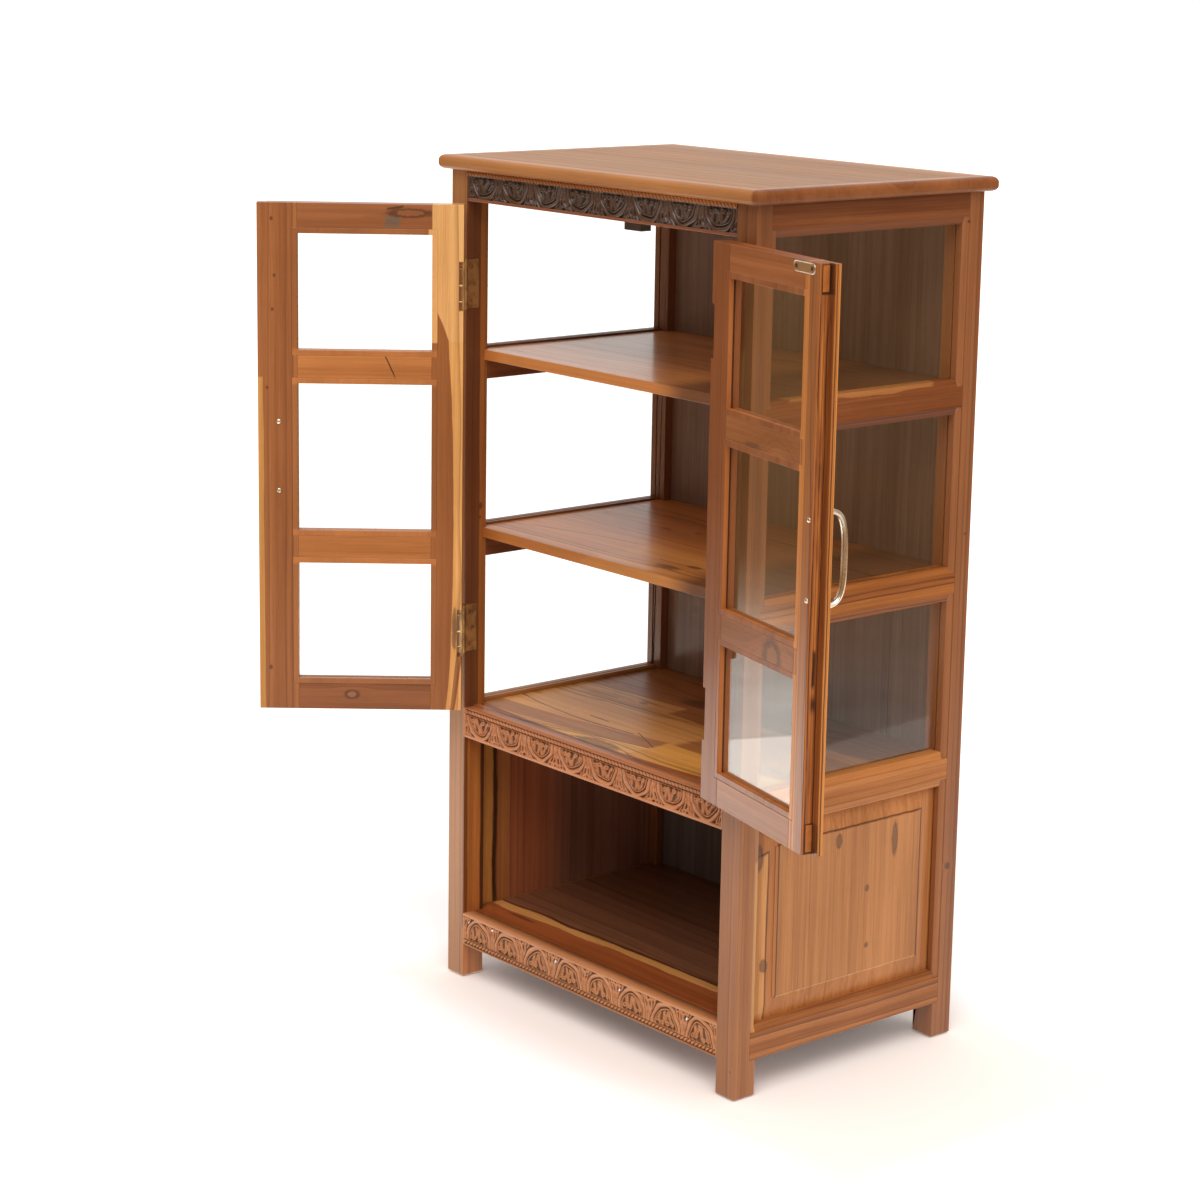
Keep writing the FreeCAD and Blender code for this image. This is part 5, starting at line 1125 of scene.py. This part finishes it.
def makePull(body, look):
    # a bow: a superellipse path out of the door face and back, round it a flat oval with fine ridges,
    # which widens into feet at both ends
    a = np.linspace(0, math.pi, look["rings"])
    rise = np.abs(np.sin(a)) ** look["squareness"]
    away = look["projection"] * rise
    along = look["bowHalf"] * np.sign(np.cos(a)) * np.abs(np.cos(a)) ** look["squareness"]
    path = np.stack((along, away), -1)
    tangent = np.gradient(path, axis=0)
    tangent[0] = (0, 1)
    tangent[-1] = (0, -1)
    tangent /= np.linalg.norm(tangent, axis=1)[:, None]
    normal = np.stack((tangent[:, 1], -tangent[:, 0]), -1)
    foot = np.clip(1 - away / look["footReach"], 0, 1) ** 2
    phi = np.linspace(0, 2 * math.pi, look["around"], endpoint=False)
    ridges = 1 + look["ridgeShare"] * np.cos(look["ridges"] * phi)
    wide = (look["halfWidth"] + look["footWidth"] * foot)[:, None] * np.cos(phi) * ridges
    thick = (look["halfThick"] + look["flare"] * foot)[:, None] * np.sin(phi) * ridges
    z = look["middle"] + path[:, :1] + normal[:, :1] * thick
    n = look["face"] - np.maximum(path[:, 1:] + normal[:, 1:] * thick, 0)
    points = fromDoor(body, look["s"] + wide, n, z).reshape(-1, 3)
    ends = [list(range(look["around"]))[::-1], list(range(len(points) - look["around"], len(points)))]
    faces = ringFaces(look["rings"], look["around"]) + ends
    if body == "right_door":
        faces = [face[::-1] for face in faces]
    made = meshObject(body + "_bow_pull", points, faces)
    replaceNode(body + "_handle", made, madeMetals["bright_steel"])


for body in doors:
    makePull(body, pull)

bolts = {
    "radius": 3.7, "rise": 2.1, "slot": 0.5, "slotEdge": 0.04, "slotDepth": 1.1, "s": 262.5, "face": 29.0,
    "places": (743.0, 843.0), "turns": (0.5, 1.3), "shares": (0.35, 0.55, 0.75, 0.9, 1.0), "rows": 9,
}


def roundHead(look, turn):
    # a domed disc laid out in straight columns, so that the slot runs between two of them:
    # the height is the rise times the root of 1 less the squared distance over the squared radius
    radius, rise, slot, edge = look["radius"], look["rise"], look["slot"], look["slotEdge"]
    half = np.concatenate((np.array([slot, slot + edge]) / radius, look["shares"]))
    columns = np.concatenate((-half[::-1], half))
    across = np.linspace(-1, 1, look["rows"])
    cu, cv = np.meshgrid(columns, across, indexing="ij")
    x = radius * cu
    y = radius * cv * np.sqrt(np.clip(1 - cu ** 2, 0, 1))
    z = rise * np.sqrt(np.clip(1 - (x ** 2 + y ** 2) / radius ** 2, 0, 1))
    z = np.where(np.abs(x) < slot + edge / 4, np.minimum(z, rise - look["slotDepth"]), z)
    turned = np.stack(
        (x * math.cos(turn) - y * math.sin(turn), x * math.sin(turn) + y * math.cos(turn), z), -1,
    )
    faces, loop = gridFaces(len(columns), len(across))
    return turned.reshape(-1, 3), faces + [loop[::-1].tolist()]


def makeBolts(body, look):
    allPoints, allFaces, count = [], [], 0
    for z, turn in zip(look["places"], look["turns"]):
        points, faces = roundHead(look, turn)
        placed = fromDoor(body, look["s"] + points[:, 0], look["face"] + points[:, 2], z + points[:, 1])
        if body == "left_door":
            faces = [face[::-1] for face in faces]
        allPoints.append(placed)
        allFaces += [[count + number for number in face] for face in faces]
        count += len(points)
    made = meshObject(body + "_bolt_heads", np.concatenate(allPoints), allFaces, smooth=False)
    mergeClose(made)
    replaceNode(body + "_handle_screws", made, madeMetals["bright_steel"])


mergeWithin = 0.01   # millimetres


def mergeClose(made):
    shape = bmesh.new()
    shape.from_mesh(made.data)
    bmesh.ops.remove_doubles(shape, verts=shape.verts, dist=mergeWithin * mm)
    bmesh.ops.recalc_face_normals(shape, faces=shape.faces)
    shape.to_mesh(made.data)
    shape.free()


for body in doors:
    makeBolts(body, bolts)

strike = {
    "s": 233.0, "z": 1145.5, "half": 19.4, "radius": 7.3, "back": 28.3, "around": 96,
    "shares": (0.0, 0.35, 0.62, 0.74, 0.8, 0.87, 0.94, 1.0, 1.0),
    "lifts": (0.95, 0.95, 0.95, 0.95, 1.25, 1.45, 1.2, 0.5, 0.0),
    "rim": (0.86, 0.92),
}


def makeStrike(look):
    # a plate with half-round ends: rings round its middle line, at the listed shares of the radius
    # and heights, low in the middle with a raised rim
    phi = (np.arange(look["around"]) + 0.5) * 2 * math.pi / look["around"]
    share, turn = np.meshgrid(look["shares"], phi, indexing="ij")
    lift = np.repeat(np.array(look["lifts"])[:, None], look["around"], axis=1)
    s = look["s"] + look["half"] * np.sign(np.cos(turn)) + look["radius"] * share * np.cos(turn)
    z = look["z"] + look["radius"] * share * np.sin(turn)
    points = fromDoor("right_door", s, look["back"] + lift, z).reshape(-1, 3)
    cap = list(range(len(points) - look["around"], len(points)))
    faces = ringFaces(len(share), look["around"]) + [cap]
    made = meshObject("strike_plate_shaped", points, faces, smooth=False)
    rimStart, rimFull = look["rim"]
    storeValues(made.data, "rim", np.clip((share - rimStart) / (rimFull - rimStart), 0, 1).ravel())
    mergeClose(made)
    replaceNode("strike_plate", made, madeMetals["strike_metal"])


makeStrike(strike)
print("stage: pulls, bolts and strike made")


# Stage
def makeRayGroup():
    # what a ray is: seen is a ray from the camera, straight or through glass only; mirrored is one that
    # polished wood, metal or glass reflected; both are 0 after a matt bounce
    takes = {"Camera": 0.0, "Through": 0.0, "Glossy": 0.0, "Matt Bounces": 0.0, "Mirror Bounces": 0.0}
    tree, given, output = newGroup("rayKinds", takes, {"Seen": "Float", "Mirrored": "Float"})
    fresh, straight = (calc(tree, "LESS_THAN", given[key], 0.5) for key in ("Matt Bounces", "Mirror Bounces"))
    seen = times(tree, calc(tree, "MAXIMUM", given["Camera"], given["Through"]), fresh)
    polished = times(tree, calc(tree, "MAXIMUM", given["Glossy"], given["Through"]), fresh)
    feed(
        tree, output, Seen=times(tree, seen, straight),
        Mirrored=times(tree, polished, oneLess(tree, straight)),
    )
    return tree


rayGroup = makeRayGroup()


def rayKinds(tree):
    path = addNode(tree, "LightPath").outputs
    ray = useGroup(
        tree, rayGroup, Camera=path["Is Camera Ray"], Through=path["Is Transmission Ray"],
        Glossy=path["Is Glossy Ray"], Matt_Bounces=path["Diffuse Depth"], Mirror_Bounces=path["Glossy Depth"],
    )
    return ray["Seen"], ray["Mirrored"]


# lengths in metres, angles in degrees; each lamp has its strength, azimuth, elevation and spread
studio = {
    "floorColour": 0.8, "floorRough": 0.9, "seenColour": (1.12, 1.08, 1.06), "lift": 0.22,
    # a box round the object's foot where the floor gets a painted warm shade: a warmer tone and a smaller
    # lift
    "shadowBoxReach": (0.0, 0.15), "shadowBoxCentre": (0.12, 0.0), "shadowBoxHalf": (0.44, 0.23),
    "shadowWarmTone": (1.12, 1.0, 0.92), "shadowBoxLift": 0.07,
    "paper": 1.15, "paperLeft": 3.8, "paperColour": (1.0, 0.94, 0.87), "leftReach": (0.95, 1.25),
    "leftSpan": (-0.3, 1.2), "paperHalf": 1.35, "paperEdge": 0.01, "paperTurn": 6,
    "concrete": 0.57, "stain": (2.5, 5.0, 0.65), "stainGain": (1.2, 0.4), "lightReach": (1.8, 3.7),
    "discRings": 40, "discSpokes": 96, "discMiddle": 0.001, "discSpan": (0.2, 60.0), "discLevel": -0.0005,
    "room": 0.32, "roomColour": (1.0, 0.52, 0.2), "backdrop": 1.0, "world": 0.42, "worldBack": 0.8,
    "backRise": 0.35, "backSpan": (0.25, 0.85),
    "lamps": {"key_lamp": (1.5, 35, 52, 40), "fill_lamp": (0.8, 95, 38, 60)},
}


def makeFloorMaterial(look):
    # seen by the camera and through glass it is lit paper raised to white, shadow kept; polished pieces see
    # white paper near the object, a grey studio floor past it and a dark room far off
    material, tree, shader = newMaterial("studio_floor")
    seen, mirrored = rayKinds(tree)
    place = addNode(tree, "TexCoord").outputs["Object"]
    angle = math.radians(look["paperTurn"])
    turned = addNode(tree, "VectorRotate", {"rotation_type": "Z_AXIS"}, Vector=place, Angle=angle).outputs[0]
    side = partsOf(tree, turned)[0]
    sideways = calc(tree, "ABSOLUTE", side)
    half, edge = look["paperHalf"], look["paperEdge"]
    onPaper = oneLess(tree, smoothStep(tree, sideways, half - edge, half + edge))
    distance = vectorCalc(tree, "LENGTH", place, output="Value")
    near = oneLess(tree, smoothStep(tree, distance, *look["lightReach"]))
    stain = noiseOf(tree, place, *look["stain"])
    concrete = times(tree, times(tree, near, look["concrete"]), scaled(tree, stain, *look["stainGain"]))
    leftward = smoothStep(tree, times(tree, side, -1.0), *look["leftSpan"])
    forward = times(tree, partsOf(tree, place)[1], -1.0)
    leftward = times(tree, leftward, oneLess(tree, smoothStep(tree, forward, *look["leftReach"])))
    bright = scaled(tree, leftward, look["paperLeft"] - look["paper"], look["paper"])
    mirrorLevel = mixValue(tree, onPaper, times(tree, concrete, bright), times(tree, near, bright))
    # painted warm shade near the object's foot: inside this box the floor takes a warmer tone and less lift,
    # which warms and deepens its shadow
    shifted = vectorCalc(tree, "SUBTRACT", place, look["shadowBoxCentre"] + (0.0,))
    sides = partsOf(tree, vectorCalc(tree, "ABSOLUTE", shifted))
    outside = calc(tree, "MAXIMUM", *(minus(tree, sides[k], look["shadowBoxHalf"][k]) for k in range(2)))
    clear = smoothStep(tree, outside, *look["shadowBoxReach"])
    seenTone = mixColour(tree, clear, look["shadowWarmTone"] + (1,), look["seenColour"] + (1,))
    plain = mixColour(tree, seen, grey(look["floorColour"]), seenTone)
    lift = scaled(tree, clear, look["lift"] - look["shadowBoxLift"], look["shadowBoxLift"])
    mirrorLevel = plus(tree, mirrorLevel, times(tree, oneLess(tree, near), look["room"]))
    mirrorColour = mixColour(tree, near, look["roomColour"] + (1,), look["paperColour"] + (1,))
    feed(
        tree, shader, Base_Color=mixColour(tree, mirrored, plain, grey(0.0)),
        Roughness=look["floorRough"], Specular_IOR_Level=0.0,
        Emission_Strength=scaled(tree, mirrored, mirrorLevel, times(tree, seen, lift)),
        Emission_Color=mixColour(tree, mirrored, grey(1.0), mirrorColour),
    )
    material.cycles.emission_sampling = "NONE"
    return material


def makeFloor(look):
    # a flat disc in rings whose radius grows by a fixed ratio
    rings, spokes = look["discRings"], look["discSpokes"]
    radius = np.concatenate(([look["discMiddle"]], np.geomspace(*look["discSpan"], rings - 1)))
    angle = np.linspace(0, 2 * math.pi, spokes, endpoint=False)
    r, a = np.meshgrid(radius, angle, indexing="ij")
    points = np.stack((r * np.cos(a), r * np.sin(a), np.full_like(r, look["discLevel"])), -1).reshape(-1, 3)
    faces = [face[::-1] for face in ringFaces(rings, spokes)]
    floor = meshObject("studio_floor", points / mm, faces)
    floor.data.materials.append(makeFloorMaterial(look))


def makeWorld(look):
    # white behind the object, dim on the camera's side for reflections, one plain level for the light itself
    world = bpy.data.worlds.new("studio")
    bpy.context.scene.world = world
    world.use_nodes = True
    tree = world.node_tree
    seen, mirrored = rayKinds(tree)
    direction = addNode(tree, "TexCoord").outputs["Generated"]
    yaw = math.radians(cameraPlace["yaw"])
    away = (-math.sin(yaw), math.cos(yaw), look["backRise"])
    facing = vectorCalc(tree, "DOT_PRODUCT", direction, away, output="Value")
    behind = smoothStep(tree, facing, *look["backSpan"])
    level = mixValue(tree, behind, look["room"], look["backdrop"])
    matt = mixValue(tree, behind, look["world"], look["worldBack"])
    strength = mixValue(tree, seen, mixValue(tree, mirrored, matt, level), 1.0)
    front = times(tree, mirrored, oneLess(tree, behind))
    colour = mixColour(tree, front, grey(1.0), look["roomColour"] + (1,))
    feed(tree, tree.nodes["Background"], Color=colour, Strength=strength)
    world.cycles.sampling_method = "NONE"


def makeLamps(look):
    for name, (strength, azimuth, elevation, spread) in look["lamps"].items():
        data = bpy.data.lights.new(name, "SUN")
        data.energy = strength
        data.angle = math.radians(spread)
        a, e = math.radians(azimuth), math.radians(elevation)
        direction = Vector((math.sin(a) * math.cos(e), -math.cos(a) * math.cos(e), math.sin(e)))
        addObject(name, data).rotation_euler = direction.to_track_quat("Z", "Y").to_euler()


makeFloor(studio)
makeWorld(studio)
makeLamps(studio)
print("stage: studio set")
